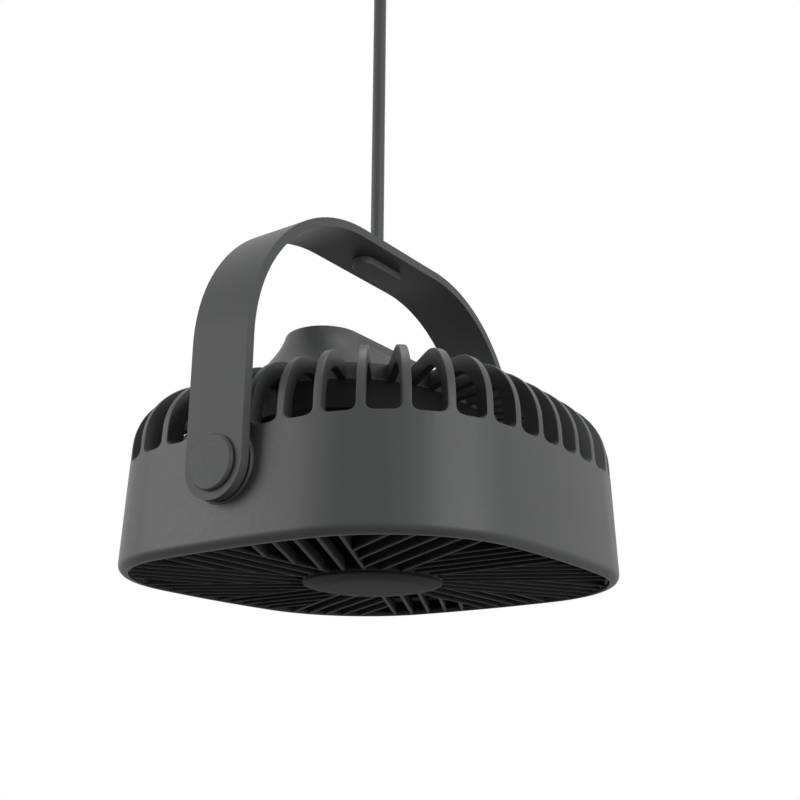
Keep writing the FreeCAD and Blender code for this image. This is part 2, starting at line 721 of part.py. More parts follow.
def build_duct():
    """Round duct about the impeller, with a plate that closes the housing's corners."""
    plate = square_block("duct_plate", "wall + duct_gap", FRAME_TOP,
                         f"{FRAME_TOP} + duct_flange")
    tube = cylinder("duct_tube", f"{DUCT_RADIUS} + duct_wall", FRAME_TOP, "duct_top")
    whole = fuse_all("duct_whole", [plate, tube])
    bore = cylinder("duct_bore", DUCT_RADIUS, RIM, "duct_top + 1")
    return keep("air_duct", boolean("Cut", "air_duct", whole, bore))


def build_tub():
    """Cup under the pod that closes it and carries battery and motor."""
    length = "skirt_half_length"
    width = "skirt_half_width"
    outside = stadium_block("tub_outside", length, width, TUB_BASE, SKIRT)
    inside = stadium_block("tub_inside", f"{length} - pod_wall", f"{width} - pod_wall",
                           TRAY_BASE, f"{SKIRT} + 1")
    cup = boolean("Cut", "tub_cup", outside, inside)
    posts = []
    holes = []
    screws = []
    for index, (x, y) in enumerate(screw_posts()):
        name = f"tub_post_{index}"
        posts.append(cylinder(name, "post_radius", TUB_BASE, f"{TRAY_BASE} + 2", x, y))
        holes.append(cylinder(name + "_hole", "small_screw + 0.1", f"{TUB_BASE} - 1",
                              f"{TRAY_BASE} + 3", x, y))
        screws.append(small_screw(f"tub_screw_{index}", x, y, TUB_BASE))
    for index, (x, y) in enumerate(motor_screw_places()):
        holes.append(cylinder(f"tub_motor_hole_{index}", "small_screw - small_bite",
                              f"{TUB_BASE} - 1", f"{TRAY_BASE} + 1", x, y))
    posted = fuse_all("tub_posted", [cup] + posts)
    keep("inner_tub", boolean("Cut", "inner_tub", posted, fuse_all("tub_holes", holes)))
    keep("tub_screws", group("tub_screws", screws))


def small_screw(name, x, y, seat):
    """A small screw driven upwards, its head below the seat."""
    head = cylinder(name + "_head", "small_head", f"{seat} - small_head_height", seat, x, y)
    shank = cylinder(name + "_shank", "small_screw - small_bite", seat,
                     f"{seat} + small_screw_reach", x, y)
    return fuse_all(name, [head, shank])


# Motor and impeller


def motor_screw_places():
    """Three places on the motor's screw circle."""
    places = []
    for index in range(3):
        angle = 90 + index * 120
        places.append((f"motor_screw_circle * cos({angle})",
                       f"motor_screw_circle * sin({angle})"))
    return places


def build_motor():
    """Outrunner motor: fixed base and stator, turning cup, magnets and shaft."""
    tube_low = f"({ROTOR_BASE} + rotor_floor + 0.7)"
    profile = [("bearing_radius", tube_low), ("tube_radius", tube_low),
               ("tube_radius", MOTOR_FACE), ("motor_flange_radius", MOTOR_FACE),
               ("motor_flange_radius", TUB_BASE), ("bearing_radius", TUB_BASE)]
    base = turned_z("motor_base_blank", profile)
    holes = []
    screws = []
    for index, (x, y) in enumerate(motor_screw_places()):
        holes.append(cylinder(f"motor_hole_{index}", "small_screw + 0.1",
                              f"{MOTOR_FACE} - 1", f"{TUB_BASE} + 1", x, y))
        head = cylinder(f"motor_screw_{index}_head", "small_head",
                        f"{MOTOR_FACE} - small_head_height", MOTOR_FACE, x, y)
        shank = cylinder(f"motor_screw_{index}_shank", "small_screw - small_bite",
                         MOTOR_FACE, TRAY_BASE, x, y)
        screws.append(fuse_all(f"motor_screw_{index}", [head, shank]))
    keep("motor_base", boolean("Cut", "motor_base", base, fuse_all("motor_holes", holes)))
    keep("motor_screws", group("motor_screws", screws))

    bearings = []
    for index, low in enumerate((tube_low, f"({TUB_BASE} - bearing_height)")):
        profile = ring_profile("shaft_radius + bore_gap", "bearing_radius", low,
                               f"{low} + bearing_height")
        bearings.append(turned_z(f"bearing_{index}", profile))
    keep("shaft_bearings", group("shaft_bearings", bearings))

    low = f"({STATOR_TOP} - stator_height)"
    core = turned_z("stator_middle", ring_profile("tube_radius", "stator_core", low, STATOR_TOP))
    tooth = box("stator_tooth", "stator_core - 1", "stator_radius - 0.8", "-tooth_width / 2",
                "tooth_width / 2", low, STATOR_TOP)
    shoe = box("stator_shoe", "stator_radius - 1.6", "stator_radius - 0.5", "-tooth_width",
               "tooth_width", low, STATOR_TOP)
    one = fuse_all("stator_pole", [tooth, shoe])
    poles = copies("stator_poles", one, int(size("tooth_count")))
    keep("stator_core_stack", fuse_all("stator_core_stack", [core, poles]))

    wide = "(tooth_width / 2 + coil_gap)"
    block = box("coil_block", "stator_core + 0.4", "stator_radius - 1.9",
                f"-({wide} + coil_wall)", f"{wide} + coil_wall",
                f"{low} - coil_gap - coil_wall", f"{STATOR_TOP} + coil_gap + coil_wall")
    core_hole = box("coil_hole", "stator_core", "stator_radius", f"-{wide}", wide,
                    f"{low} - coil_gap", f"{STATOR_TOP} + coil_gap")
    coil = boolean("Cut", "coil", block, core_hole)
    keep("stator_coils", copies("stator_coils", coil, int(size("tooth_count"))))

    magnet_inner = "(stator_radius + air_gap)"
    cup_inner = f"({magnet_inner} + magnet_wall)"
    cup_outer = f"({cup_inner} + rotor_wall)"
    keep("rotor_magnets", turned_z("rotor_magnets", ring_profile(
        magnet_inner, cup_inner, low, STATOR_TOP)))
    cup = [("shaft_radius", ROTOR_BASE), (cup_outer, ROTOR_BASE), (cup_outer, ROTOR_TOP),
           (cup_inner, ROTOR_TOP), (cup_inner, f"{ROTOR_BASE} + rotor_floor"),
           ("shaft_radius", f"{ROTOR_BASE} + rotor_floor")]
    keep("rotor_cup", turned_z("rotor_cup", cup))
    shaft = [("0", f"{ROTOR_BASE} - shaft_nose"), ("shaft_radius", f"{ROTOR_BASE} - shaft_nose"),
             ("shaft_radius", f"{TUB_BASE} - 0.5"), ("0", f"{TUB_BASE} - 0.5")]
    keep("motor_shaft", turned_z("motor_shaft", shaft))
    build_impeller(cup_outer)


def build_impeller(cup_outer):
    """Axial impeller: a hub over the rotor cup and twisted blades."""
    body = new_body("impeller")
    face = f"({ROTOR_BASE} - impeller_floor)"
    hub_outer = f"({cup_outer} + impeller_hub_wall)"
    profile = [("shaft_radius", face), (f"{hub_outer} - 2", face), (hub_outer, f"{face} + 2"),
               (hub_outer, ROTOR_TOP), (cup_outer, ROTOR_TOP), (cup_outer, ROTOR_BASE),
               ("shaft_radius", ROTOR_BASE)]
    turn(body, polygon(sketch_on(body, "XZ_Plane"), profile), "V_Axis")
    middle = f"({ROTOR_BASE} + rotor_height / 2 - 1)"
    outlines = []
    stations = (("root", f"({hub_outer} - 1)"), ("tip", BLADE_TIP))
    for station, reach in stations:
        half = f"{station}_chord / 2"
        thick = "blade_thickness / 2"
        lean = f"cos({station}_pitch)"
        rise = f"sin({station}_pitch)"
        corners = []
        for along, across in ((-1, -1), (1, -1), (1, 1), (-1, 1)):
            y = f"{along} * {half} * {lean} - {across} * {thick} * {rise}"
            z = f"{middle} + {along} * {half} * {rise} + {across} * {thick} * {lean}"
            corners.append((y, z))
        outlines.append(polygon(sketch_on(body, "YZ_Plane", reach), corners))
    blade = body.newObject("PartDesign::AdditiveLoft", "impeller_blade")
    blade.Profile = outlines[0]
    blade.Sections = [outlines[1]]
    blade.Ruled = True
    body.Tip = blade
    doc.recompute()
    ring = body.newObject("PartDesign::PolarPattern", "impeller_blades")
    ring.Originals = [blade]
    ring.Axis = (origin_part(body, "Z_Axis"), [""])
    ring.Angle = 360
    bind(ring, "Occurrences", "blade_count")
    body.Tip = ring
    doc.recompute()
    keep("impeller", body)

    low = f"({face} - clip_height)"
    clip = [("shaft_radius", low), ("clip_radius - 1.2", low), ("clip_radius", f"{low} + 1.2"),
            ("clip_radius", face), ("shaft_radius", face)]
    keep("impeller_nut", turned_z("impeller_nut", clip))


# Battery, board and controls in the pod


def build_battery():
    """Two cells side by side in a tray whose end walls carry the circuit board."""
    half_gap = "(cell_gap / 2 + cell_radius)"
    cells = []
    for side, name in ((1, "a"), (-1, "b")):
        cells.append(cylinder_x(f"cell_{name}", "cell_radius", "-cell_length / 2",
                                "cell_length / 2", CELL_AXIS, f"{side} * {half_gap}"))
    keep("battery_cells", group("battery_cells", cells))

    in_x = "(cell_length / 2 + fit_gap)"
    in_y = "(cell_gap / 2 + cell_radius * 2 + fit_gap)"
    board_under = f"({BOARD_TOP} - board_thickness)"
    outside = box("tray_outside", f"-({in_x} + tray_wall)", f"{in_x} + tray_wall",
                  f"-({in_y} + tray_wall)", f"{in_y} + tray_wall", TRAY_BASE,
                  f"{TRAY_BASE} + tray_floor + tray_side")
    ends = []
    for low, high, name in ((f"-({in_x} + tray_wall)", f"-{in_x}", "left"),
                            (in_x, f"{in_x} + tray_wall", "right")):
        ends.append(box(f"tray_end_{name}", low, high, "-stand_width / 2", "stand_width / 2",
                        TRAY_BASE, board_under))
    whole = fuse_all("tray_whole", [outside] + ends)
    inside = box("tray_inside", f"-{in_x}", in_x, f"-{in_y}", in_y, f"{TRAY_BASE} + tray_floor",
                 POD_TOP)
    keep("battery_tray", boolean("Cut", "battery_tray", whole, inside))


def build_board():
    """Circuit board with switches, charge lamps and the charging socket."""
    under = f"({BOARD_TOP} - board_thickness)"
    body = new_body("control_board")
    half_x = "board_half_length"
    half_y = "board_half_width"
    tongue = "(socket_width / 2 + 0.5)"
    tip = f"({half_x} + board_tongue)"
    corners = [(f"-{half_x}", f"-{half_y}"), (half_x, f"-{half_y}"), (half_x, f"-{tongue}"),
               (tip, f"-{tongue}"), (tip, tongue), (half_x, tongue), (half_x, half_y),
               (f"-{half_x}", half_y)]
    pad(body, polygon(sketch_on(body, "XY_Plane", under), corners), "board_thickness")
    keep("control_board", body)

    switches = []
    for place in ("power_button_x", "speed_button_x"):
        switches.append(box(f"switch_{place}", f"{place} - switch_side / 2",
                            f"{place} + switch_side / 2", "-switch_side / 2", "switch_side / 2",
                            BOARD_TOP, f"{BOARD_TOP} + switch_height"))
    keep("push_switches", group("push_switches", switches))

    lamps = []
    count = int(size("led_count"))
    for index in range(count):
        middle = f"(window_x + window_length * {(index + 0.5) / count - 0.5})"
        lamps.append(box(f"lamp_{index}", f"{middle} - led_side / 2", f"{middle} + led_side / 2",
                         "-led_side / 2", "led_side / 2", BOARD_TOP,
                         f"{BOARD_TOP} + led_height"))
    keep("charge_lamps", group("charge_lamps", lamps))

    low_x = "(socket_mouth - socket_length)"
    shell = box("socket_shell", low_x, "socket_mouth", "-socket_width / 2", "socket_width / 2",
                BOARD_TOP, f"{BOARD_TOP} + socket_height")
    hollow = box("socket_hollow", f"{low_x} + 1.5", "socket_mouth + 1",
                 "-(socket_width / 2 - socket_wall)", "socket_width / 2 - socket_wall",
                 f"{BOARD_TOP} + socket_wall", f"{BOARD_TOP} + socket_height - socket_wall")
    tongue_bar = box("socket_tongue", low_x, "socket_mouth - 1", "-socket_width / 2 + 1.2",
                     "socket_width / 2 - 1.2", f"{BOARD_TOP} + socket_height / 2 - 0.35",
                     f"{BOARD_TOP} + socket_height / 2 + 0.35")
    tube = boolean("Cut", "socket_tube", shell, hollow)
    keep("charging_socket", fuse_all("charging_socket", [tube, tongue_bar]))


def build_pod_cover():
    """Flush cover on the pod, with its two buttons and the charge display."""
    length = "pod_half_length - cover_inset - cover_gap"
    width = "pod_half_width - cover_inset - cover_gap"
    blank = stadium_block("cover_blank", length, width, COVER_UNDER, POD_TOP)
    holes = []
    for place in ("power_button_x", "speed_button_x"):
        holes.append(cylinder(f"cover_hole_{place}", "button_radius + button_gap",
                              f"{COVER_UNDER} - 1", f"{POD_TOP} + 1", place))
    gap = "window_gap"
    holes.append(box("cover_window", f"window_x - window_length / 2 - {gap}",
                     f"window_x + window_length / 2 + {gap}", f"-(window_width / 2 + {gap})",
                     f"window_width / 2 + {gap}", f"{COVER_UNDER} - 1", f"{POD_TOP} + 1"))
    keep("pod_cover", boolean("Cut", "pod_cover", blank, fuse_all("cover_holes", holes)))
    pane = box("window_pane", "window_x - window_length / 2", "window_x + window_length / 2",
               "-window_width / 2", "window_width / 2", COVER_UNDER, POD_TOP)
    guide = box("window_guide", "window_x - window_length / 2 + 1",
                "window_x + window_length / 2 - 1", "-led_side / 2", "led_side / 2",
                f"{BOARD_TOP} + led_height + fit_gap", COVER_UNDER)
    keep("charge_display", fuse_all("charge_display", [pane, guide]))

    flange_top = f"({COVER_UNDER} - button_play)"
    top = f"({POD_TOP} + button_proud)"
    for name, place in (("power_button", "power_button_x"), ("speed_button", "speed_button_x")):
        profile = [("0", f"{flange_top} - button_flange_height"),
                   ("button_flange", f"{flange_top} - button_flange_height"),
                   ("button_flange", flange_top), ("button_radius", flange_top),
                   ("button_radius", f"{top} - 0.6"), ("button_radius - 0.6", top), ("0", top)]
        body = turned_z(name, profile)
        bind(body, "Placement.Base.x", place)
        keep(name, body)


# Handle and pivots


def build_handle():
    """Flat U-shaped band: two legs, two wide bends and a flat top with a slot."""
    foot = f"({PIVOT} - band_width / 2)"
    body = new_body("handle_band")
    corners = [(f"-{LEG_OUTER}", foot), (f"-{LEG_OUTER}", BAND_TOP), (LEG_OUTER, BAND_TOP),
               (LEG_OUTER, foot), (LEG_INNER, foot), (LEG_INNER, BAND_UNDER),
               (f"-{LEG_INNER}", BAND_UNDER), (f"-{LEG_INNER}", foot)]
    pad(body, polygon(sketch_on(body, "XZ_Plane"), corners), "band_width", middle=True)
    top = size("hub_drop") + size("band_rise") + size("band_thickness")
    low = size("hub_drop") + size("pivot_height") - size("band_width") / 2

    def across_at(level):
        def there(edge):
            bounds = edge.BoundBox
            flat = max(bounds.XLength, bounds.ZLength) < 1e-4
            return flat and abs(bounds.ZMin - level) < 1e-4
        return there

    round_edges(body, "band_corner", across_at(top))
    under = top - size("band_thickness")
    round_edges(body, "band_corner - band_thickness", across_at(under))

    def leg_corner(edge):
        bounds = edge.BoundBox
        flat = max(bounds.YLength, bounds.ZLength) < 1e-4
        return flat and abs(bounds.ZMin - low) < 1e-4

    round_edges(body, "band_width / 2 - 0.05", leg_corner)
    half = size("band_width") / 2

    def band_edge(edge):
        bounds = edge.BoundBox
        on_side = bounds.YLength < 1e-4 and abs(abs(bounds.YMin) - half) < 1e-3
        on_end = bounds.XLength < 1e-4 and bounds.ZMax < low + half + 1e-3
        return on_side or on_end

    round_edges(body, "band_edge", band_edge)

    slot = new_body("band_slot")
    made = stadium(sketch_on(slot, "XY_Plane", f"{BAND_UNDER} - 1"), "slot_length / 2",
                   "slot_width / 2")
    pad(slot, made, "band_thickness + 2")
    cuts = [slot]
    cuts.append(cylinder_x("leg_bore", "bush_radius", f"-({LEG_OUTER} + 1)",
                           f"{LEG_OUTER} + 1"))
    cuts.append(cylinder_x("counterbore_right", "counterbore_radius",
                           f"{LEG_INNER} + leg_floor", f"{LEG_OUTER} + 1"))
    cuts.append(cylinder_x("counterbore_left", "counterbore_radius", f"-({LEG_OUTER} + 1)",
                           f"-({LEG_INNER} + leg_floor)"))
    tools = fuse_all("handle_cuts", cuts)
    keep("handle_band", boolean("Cut", "handle", body, tools))


def build_pivots():
    """Shoulder screw, nut, washer, bush and cap on each side."""
    floor = f"{LEG_INNER} + leg_floor"
    head_low = f"{floor} + bush_flange_height + 0.1"
    for side, name in ((1, "right"), (-1, "left")):
        screw = [(SCREW_END, "0"), (SCREW_END, "screw_radius"), (head_low, "screw_radius"),
                 (head_low, "screw_head_radius"),
                 (f"{head_low} + screw_head_height", "screw_head_radius"),
                 (f"{head_low} + screw_head_height", "2"), (f"{head_low} + 0.5", "2"),
                 (f"{head_low} + 0.5", "0")]
        keep(f"pivot_screw_{name}", turned_x(f"pivot_screw_{name}", side, screw))
        nut_end = f"{NUT_SEAT} - nut_height"
        nut = [(nut_end, "screw_radius"), (NUT_SEAT, "screw_radius"), (NUT_SEAT, "nut_radius"),
               (nut_end, "nut_radius")]
        keep(f"pivot_nut_{name}", turned_x(f"pivot_nut_{name}", side, nut))
        washer = [(BOSS_FACE, "screw_radius + bore_gap"), (BOSS_FACE, "washer_radius"),
                  (f"{BOSS_FACE} + washer_height", "washer_radius"),
                  (f"{BOSS_FACE} + washer_height", "screw_radius + bore_gap")]
        keep(f"friction_washer_{name}", turned_x(f"friction_washer_{name}", side, washer))
        bush = [(LEG_INNER, "screw_radius + bore_gap"), (LEG_INNER, "bush_radius"),
                (floor, "bush_radius"), (floor, "bush_flange"),
                (f"{floor} + bush_flange_height", "bush_flange"),
                (f"{floor} + bush_flange_height", "screw_radius + bore_gap")]
        keep(f"pivot_bush_{name}", turned_x(f"pivot_bush_{name}", side, bush))
        inner_ring = "counterbore_radius - cap_ring"
        plug_end = f"{LEG_OUTER} - cap_plug_depth"
        cap_face = f"{LEG_OUTER} + cap_height"
        cap = [(LEG_OUTER, "0"), (LEG_OUTER, inner_ring), (plug_end, inner_ring),
               (plug_end, "counterbore_radius"), (LEG_OUTER, "counterbore_radius"),
               (LEG_OUTER, "cap_radius"), (f"{cap_face} - cap_edge", "cap_radius"),
               (cap_face, "cap_radius - cap_edge"), (cap_face, "0")]
        keep(f"pivot_cap_{name}", turned_x(f"pivot_cap_{name}", side, cap))


# Hanging rod


def build_hanger():
    """Foot that slides in the band's slot, rod that turns in it, and the eye on top."""
    block = stadium_block("foot_block", "foot_half_length", "foot_half_width", FOOT_SEAM,
                          FOOT_TOP)
    tongue = stadium_block("foot_tongue", "tongue_half_length", "slot_width / 2 - tongue_gap",
                           f"{FOOT_TOP} - 0.5", f"{FOOT_TOP} + tongue_height")
    whole = fuse_all("foot_whole", [block, tongue])
    bore = cylinder("foot_bore", "rod_radius + rod_gap", f"{FOOT_SEAM} - 1",
                    f"{FOOT_TOP} + tongue_height + 1")
    pocket_top = f"{HEAD_TOP} + 0.2"
    recess = cylinder("foot_pocket", "rod_head_radius + head_pocket_gap", f"{FOOT_SEAM} - 1",
                      pocket_top)
    keep("slot_foot", boolean("Cut", "slot_foot", whole, fuse_all("foot_cuts", [bore, recess])))
    keep("foot_cover", stadium_block("foot_cover", "foot_half_length", "foot_half_width",
                                     f"{FOOT_SEAM} - foot_cover_height", FOOT_SEAM))

    head_low = f"({HEAD_TOP} - rod_head_height)"
    rod = [("0", head_low), ("rod_head_radius", head_low), ("rod_head_radius", HEAD_TOP),
           ("rod_radius", HEAD_TOP), ("rod_radius", ROD_TOP), ("0", ROD_TOP)]
    keep("hanging_rod", turned_z("hanging_rod", rod))

    shank = [("0", ROD_TOP), ("rod_radius", ROD_TOP), ("rod_radius", EYE_BASE),
             ("eye_shank_radius - 0.8", EYE_BASE), ("eye_shank_radius", f"{EYE_BASE} + 0.8"),
             ("eye_shank_radius", f"{EYE_BASE} + eye_shank_length"),
             ("0", f"{EYE_BASE} + eye_shank_length")]
    stem = turned_z("eye_stem", shank)
    eye = new_body("eye_plate")
    made = circle(sketch_on(eye, "XZ_Plane", shift=EYE_CENTRE), "eye_radius")
    pad(eye, made, "eye_thickness", middle=True)
    round_edges(eye, "1.2", lambda edge: edge.BoundBox.YLength < 1e-4)
    joined = fuse_all("eye_joined", [stem, eye])
    hole = new_body("eye_hole")
    made = circle(sketch_on(hole, "XZ_Plane", shift=EYE_CENTRE), "eye_bore")
    pad(hole, made, "eye_thickness * 2", middle=True)
    keep("hanging_eye", boolean("Cut", "hanging_eye", joined, hole))


build_rear_shell()
build_grille()
build_hub_cap()
build_duct()
build_tub()
build_motor()
build_battery()
build_board()
build_pod_cover()
build_handle()
build_pivots()
build_hanger()
doc.recompute()

for thing in doc.Objects:
    if "Invalid" in thing.State or "Error" in thing.State:
        raise ValueError(f"{thing.Label} failed: {thing.State}")
    if thing.isDerivedFrom("Sketcher::SketchObject") and not thing.FullyConstrained:
        raise ValueError(f"{thing.Label} is not fully constrained")
for name, thing in parts.items():
    if thing.Shape.isNull() or not thing.Shape.isValid() or not thing.Shape.Solids:
        raise ValueError(f"{name} has no valid solid")

os.makedirs("parts", exist_ok=True)
for name, thing in parts.items():
    thing.Shape.exportStep(os.path.join("parts", f"{name}.step"))
    print(f"{name}: {len(thing.Shape.Solids)} solids, {thing.Shape.Volume:.0f} mm3")
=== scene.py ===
"""Portable camping fan that hangs by a rod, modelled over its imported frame.

Sizes are in millimetres unless a name says otherwise. +Z is up and the fan's axis is Z.
"""

import logging
import math
from collections.abc import Callable, Iterable, Sequence
from dataclasses import dataclass
from enum import Enum
from typing import Any

import bmesh
import bpy
from mathutils import Matrix, Vector


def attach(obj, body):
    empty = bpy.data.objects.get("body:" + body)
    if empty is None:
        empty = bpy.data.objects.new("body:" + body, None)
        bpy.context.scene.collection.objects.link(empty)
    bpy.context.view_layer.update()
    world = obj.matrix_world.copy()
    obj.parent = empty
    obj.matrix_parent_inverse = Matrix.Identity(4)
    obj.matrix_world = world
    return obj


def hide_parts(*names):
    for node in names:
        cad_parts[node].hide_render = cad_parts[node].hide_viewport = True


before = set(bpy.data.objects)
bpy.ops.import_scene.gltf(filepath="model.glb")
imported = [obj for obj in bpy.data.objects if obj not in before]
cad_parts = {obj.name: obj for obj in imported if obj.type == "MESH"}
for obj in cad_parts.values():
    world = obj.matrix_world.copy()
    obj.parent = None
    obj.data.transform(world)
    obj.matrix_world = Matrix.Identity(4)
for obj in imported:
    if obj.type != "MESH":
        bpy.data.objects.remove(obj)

LOG = logging.getLogger("camping_fan")
MM = 0.001
# Faces round a turned piece: a small one, a common one and a wide one.
SMALL_ROUND, COMMON_ROUND, WIDE_ROUND = 48, 72, 96
Flat = tuple[float, float]
Ring = list[tuple[float, float, float]]
Rule = Callable[[Vector], tuple[float, float, float]]


# Modelling bench


class Ends(Enum):
    """What closes a lofted skin."""

    FILL = "a face on the first and the last ring"
    JOIN = "the last ring runs back into the first"


class Axis(Enum):
    """The line that a turned piece is spun about."""

    UPRIGHT = "the fan's axis"
    PIVOT = "the pivot axis, parallel to X"


def clear_selection() -> None:
    """Leave edit mode and deselect everything."""
    if bpy.context.mode != "OBJECT":
        bpy.ops.object.mode_set(mode="OBJECT")
    bpy.ops.object.select_all(action="DESELECT")


def pick(made: bpy.types.Object) -> None:
    """Make one object the only selected and the active one.

    Args:
        made: The object.
    """
    clear_selection()
    made.select_set(True)
    bpy.context.view_layer.objects.active = made


def start_ring(name: str, points: Ring) -> bpy.types.Object:
    """Add a circle primitive and put its points in place.

    Args:
        name: Name of the new object.
        points: The ring's points in order.

    Returns:
        The new object, in edit mode with its ring selected.
    """
    clear_selection()
    bpy.ops.mesh.primitive_circle_add(vertices=len(points), radius=MM, fill_type="NOTHING")
    made = bpy.context.object
    made.name = made.data.name = name
    bpy.ops.object.mode_set(mode="EDIT")
    mesh = bmesh.from_edit_mesh(made.data)
    for vertex, point in zip(mesh.verts, points):
        vertex.co = Vector(point) * MM
    bmesh.update_edit_mesh(made.data)
    return made


def close_up(made: bpy.types.Object) -> bpy.types.Object:
    """Merge doubles, drop loose edges and turn all faces outwards.

    Args:
        made: The mesh, in edit mode.

    Returns:
        The same object, in object mode.
    """
    bpy.ops.mesh.select_all(action="SELECT")
    bpy.ops.mesh.remove_doubles(threshold=MM * 0.002)
    bpy.ops.mesh.delete_loose()
    bpy.ops.mesh.select_all(action="SELECT")
    bpy.ops.mesh.normals_make_consistent(inside=False)
    bpy.ops.object.mode_set(mode="OBJECT")
    return made


def grown_from(mesh: bmesh.types.BMesh, index: int) -> bmesh.types.BMVert:
    """The vertex that was just extruded from an older one.

    Args:
        mesh: The mesh in edit mode.
        index: Number of the older vertex.

    Returns:
        The new vertex.
    """
    old = mesh.verts[index]
    return next(edge.other_vert(old) for edge in old.link_edges
                if edge.other_vert(old).select and not old.select)


def loft(name: str, rings: Sequence[Ring], ends: Ends) -> bpy.types.Object:
    """Extrude a ring of points through all the others.

    Args:
        name: Name of the new object.
        rings: Rings with equally many points, in order.
        ends: What closes the skin.

    Returns:
        The closed mesh.
    """
    made = start_ring(name, rings[0])
    if ends is Ends.FILL:
        bpy.ops.mesh.edge_face_add()
        bpy.ops.mesh.select_all(action="SELECT")
    order = list(range(len(rings[0])))
    following = list(rings[1:]) + ([rings[0]] if ends is Ends.JOIN else [])
    for ring in following:
        bpy.ops.mesh.extrude_edges_move()
        mesh = bmesh.from_edit_mesh(made.data)
        mesh.verts.ensure_lookup_table()
        order = [grown_from(mesh, index).index for index in order]
        for index, point in zip(order, ring):
            mesh.verts[index].co = Vector(point) * MM
        bmesh.update_edit_mesh(made.data)
    if ends is Ends.FILL:
        bpy.ops.mesh.edge_face_add()
    return close_up(made)


def turned(name: str, profile: Sequence[Flat], axis: Axis = Axis.UPRIGHT, centre: float = 0.0,
           steps: int = COMMON_ROUND) -> bpy.types.Object:
    """Spin a closed section once round.

    Args:
        name: Name of the new object.
        profile: Radius and height, or distance along X and radius for the pivot axis.
        axis: The line to spin about.
        centre: Height of the pivot axis.
        steps: Faces round the piece.

    Returns:
        The closed mesh.
    """
    if axis is Axis.UPRIGHT:
        points = [(radius, 0.0, height) for radius, height in profile]
        line, through = (0.0, 0.0, 1.0), (0.0, 0.0, 0.0)
    else:
        points = [(along, 0.0, centre + radius) for along, radius in profile]
        line, through = (1.0, 0.0, 0.0), (0.0, 0.0, centre * MM)
    made = start_ring(name, points)
    bpy.ops.mesh.spin(steps=steps, angle=math.tau, center=through, axis=line)
    return close_up(made)


def turned_at_pivot(name: str, side: int, profile: Sequence[Flat],
                    steps: int = COMMON_ROUND) -> bpy.types.Object:
    """Spin a section about the pivot axis, on one side of the fan.

    Args:
        name: Name of the new object.
        side: 1 for the right side, -1 for the left.
        profile: Distance along X and radius.
        steps: Faces round the piece.

    Returns:
        The closed mesh.
    """
    shape = [(side * along, radius) for along, radius in profile]
    return turned(name, shape, Axis.PIVOT, PIVOT_HEIGHT, steps)


def slide(made: bpy.types.Object, along: float) -> bpy.types.Object:
    """Move a piece's mesh along X.

    Args:
        made: The piece.
        along: How far to move it.

    Returns:
        The same piece.
    """
    for vertex in made.data.vertices:
        vertex.co.x += along * MM
    return made


def block(name: str, low: Sequence[float], high: Sequence[float]) -> bpy.types.Object:
    """A box between two corners.

    Args:
        name: Name of the new object.
        low: Lowest corner.
        high: Highest corner.

    Returns:
        The box, with its place in its mesh.
    """
    clear_selection()
    bpy.ops.mesh.primitive_cube_add(size=1.0)
    made = bpy.context.object
    made.name = made.data.name = name
    for vertex in made.data.vertices:
        vertex.co = [(a if part < 0 else b) * MM for part, a, b in zip(vertex.co, low, high)]
    return made


def apply_modifier(made: bpy.types.Object, kind: str, **settings: Any) -> None:
    """Add a modifier with its settings and apply it.

    Args:
        made: The piece.
        kind: The modifier's type.
        **settings: Properties of the modifier.
    """
    pick(made)
    modifier = made.modifiers.new(kind.title(), kind)
    for name, value in settings.items():
        setattr(modifier, name, value)
    bpy.ops.object.modifier_apply(modifier=modifier.name)


def bevel(made: bpy.types.Object, width: float, segments: int = 2, angle: float = 40.0) -> None:
    """Round every edge that is sharper than an angle in degrees.

    Args:
        made: The piece.
        width: Width of the rounding.
        segments: Faces across it.
        angle: Angle above which an edge is rounded.
    """
    apply_modifier(made, "BEVEL", width=width * MM, segments=segments, limit_method="ANGLE",
                   angle_limit=math.radians(angle), use_clamp_overlap=True,
                   harden_normals=False)


def combine(made: bpy.types.Object, operation: str, *others: bpy.types.Object) -> None:
    """Boolean a piece with others, which are used up.

    Args:
        made: The piece that is kept.
        operation: UNION or DIFFERENCE.
        *others: The tools, removed afterwards.
    """
    for other in others:
        apply_modifier(made, "BOOLEAN", operation=operation, object=other, solver="EXACT")
        bpy.data.objects.remove(other)


def copy_shaped(source: bpy.types.Object, name: str, rule: Rule) -> bpy.types.Object:
    """Copy a piece with a mesh of its own and move each point by a rule.

    Args:
        source: The piece to copy.
        name: Name of the copy.
        rule: Takes a point in millimetres and returns its new place.

    Returns:
        The copy.
    """
    pick(source)
    bpy.ops.object.duplicate(linked=False)
    made = bpy.context.object
    made.name = made.data.name = name
    for vertex in made.data.vertices:
        vertex.co = Vector(rule(vertex.co / MM)) * MM
    return made


def join(name: str, pieces: Sequence[bpy.types.Object]) -> bpy.types.Object:
    """Join several meshes into one object with one name.

    Args:
        name: Name of the joined object.
        pieces: The meshes, which are used up.

    Returns:
        The joined object.
    """
    clear_selection()
    for piece in pieces:
        piece.select_set(True)
    bpy.context.view_layer.objects.active = pieces[0]
    if len(pieces) > 1:
        bpy.ops.object.join()
    made = bpy.context.object
    made.name = made.data.name = name
    return made


def arc(centre: Flat, radius: float, start: float, end: float, steps: int) -> list[Flat]:
    """Points along an arc between two angles in degrees, both ends included.

    Args:
        centre: Its centre.
        radius: Its radius.
        start: First angle.
        end: Last angle.
        steps: Segments between them.

    Returns:
        The points in order.
    """
    points = []
    for index in range(steps + 1):
        angle = math.radians(start + (end - start) * index / steps)
        points.append((centre[0] + radius * math.cos(angle),
                       centre[1] + radius * math.sin(angle)))
    return points


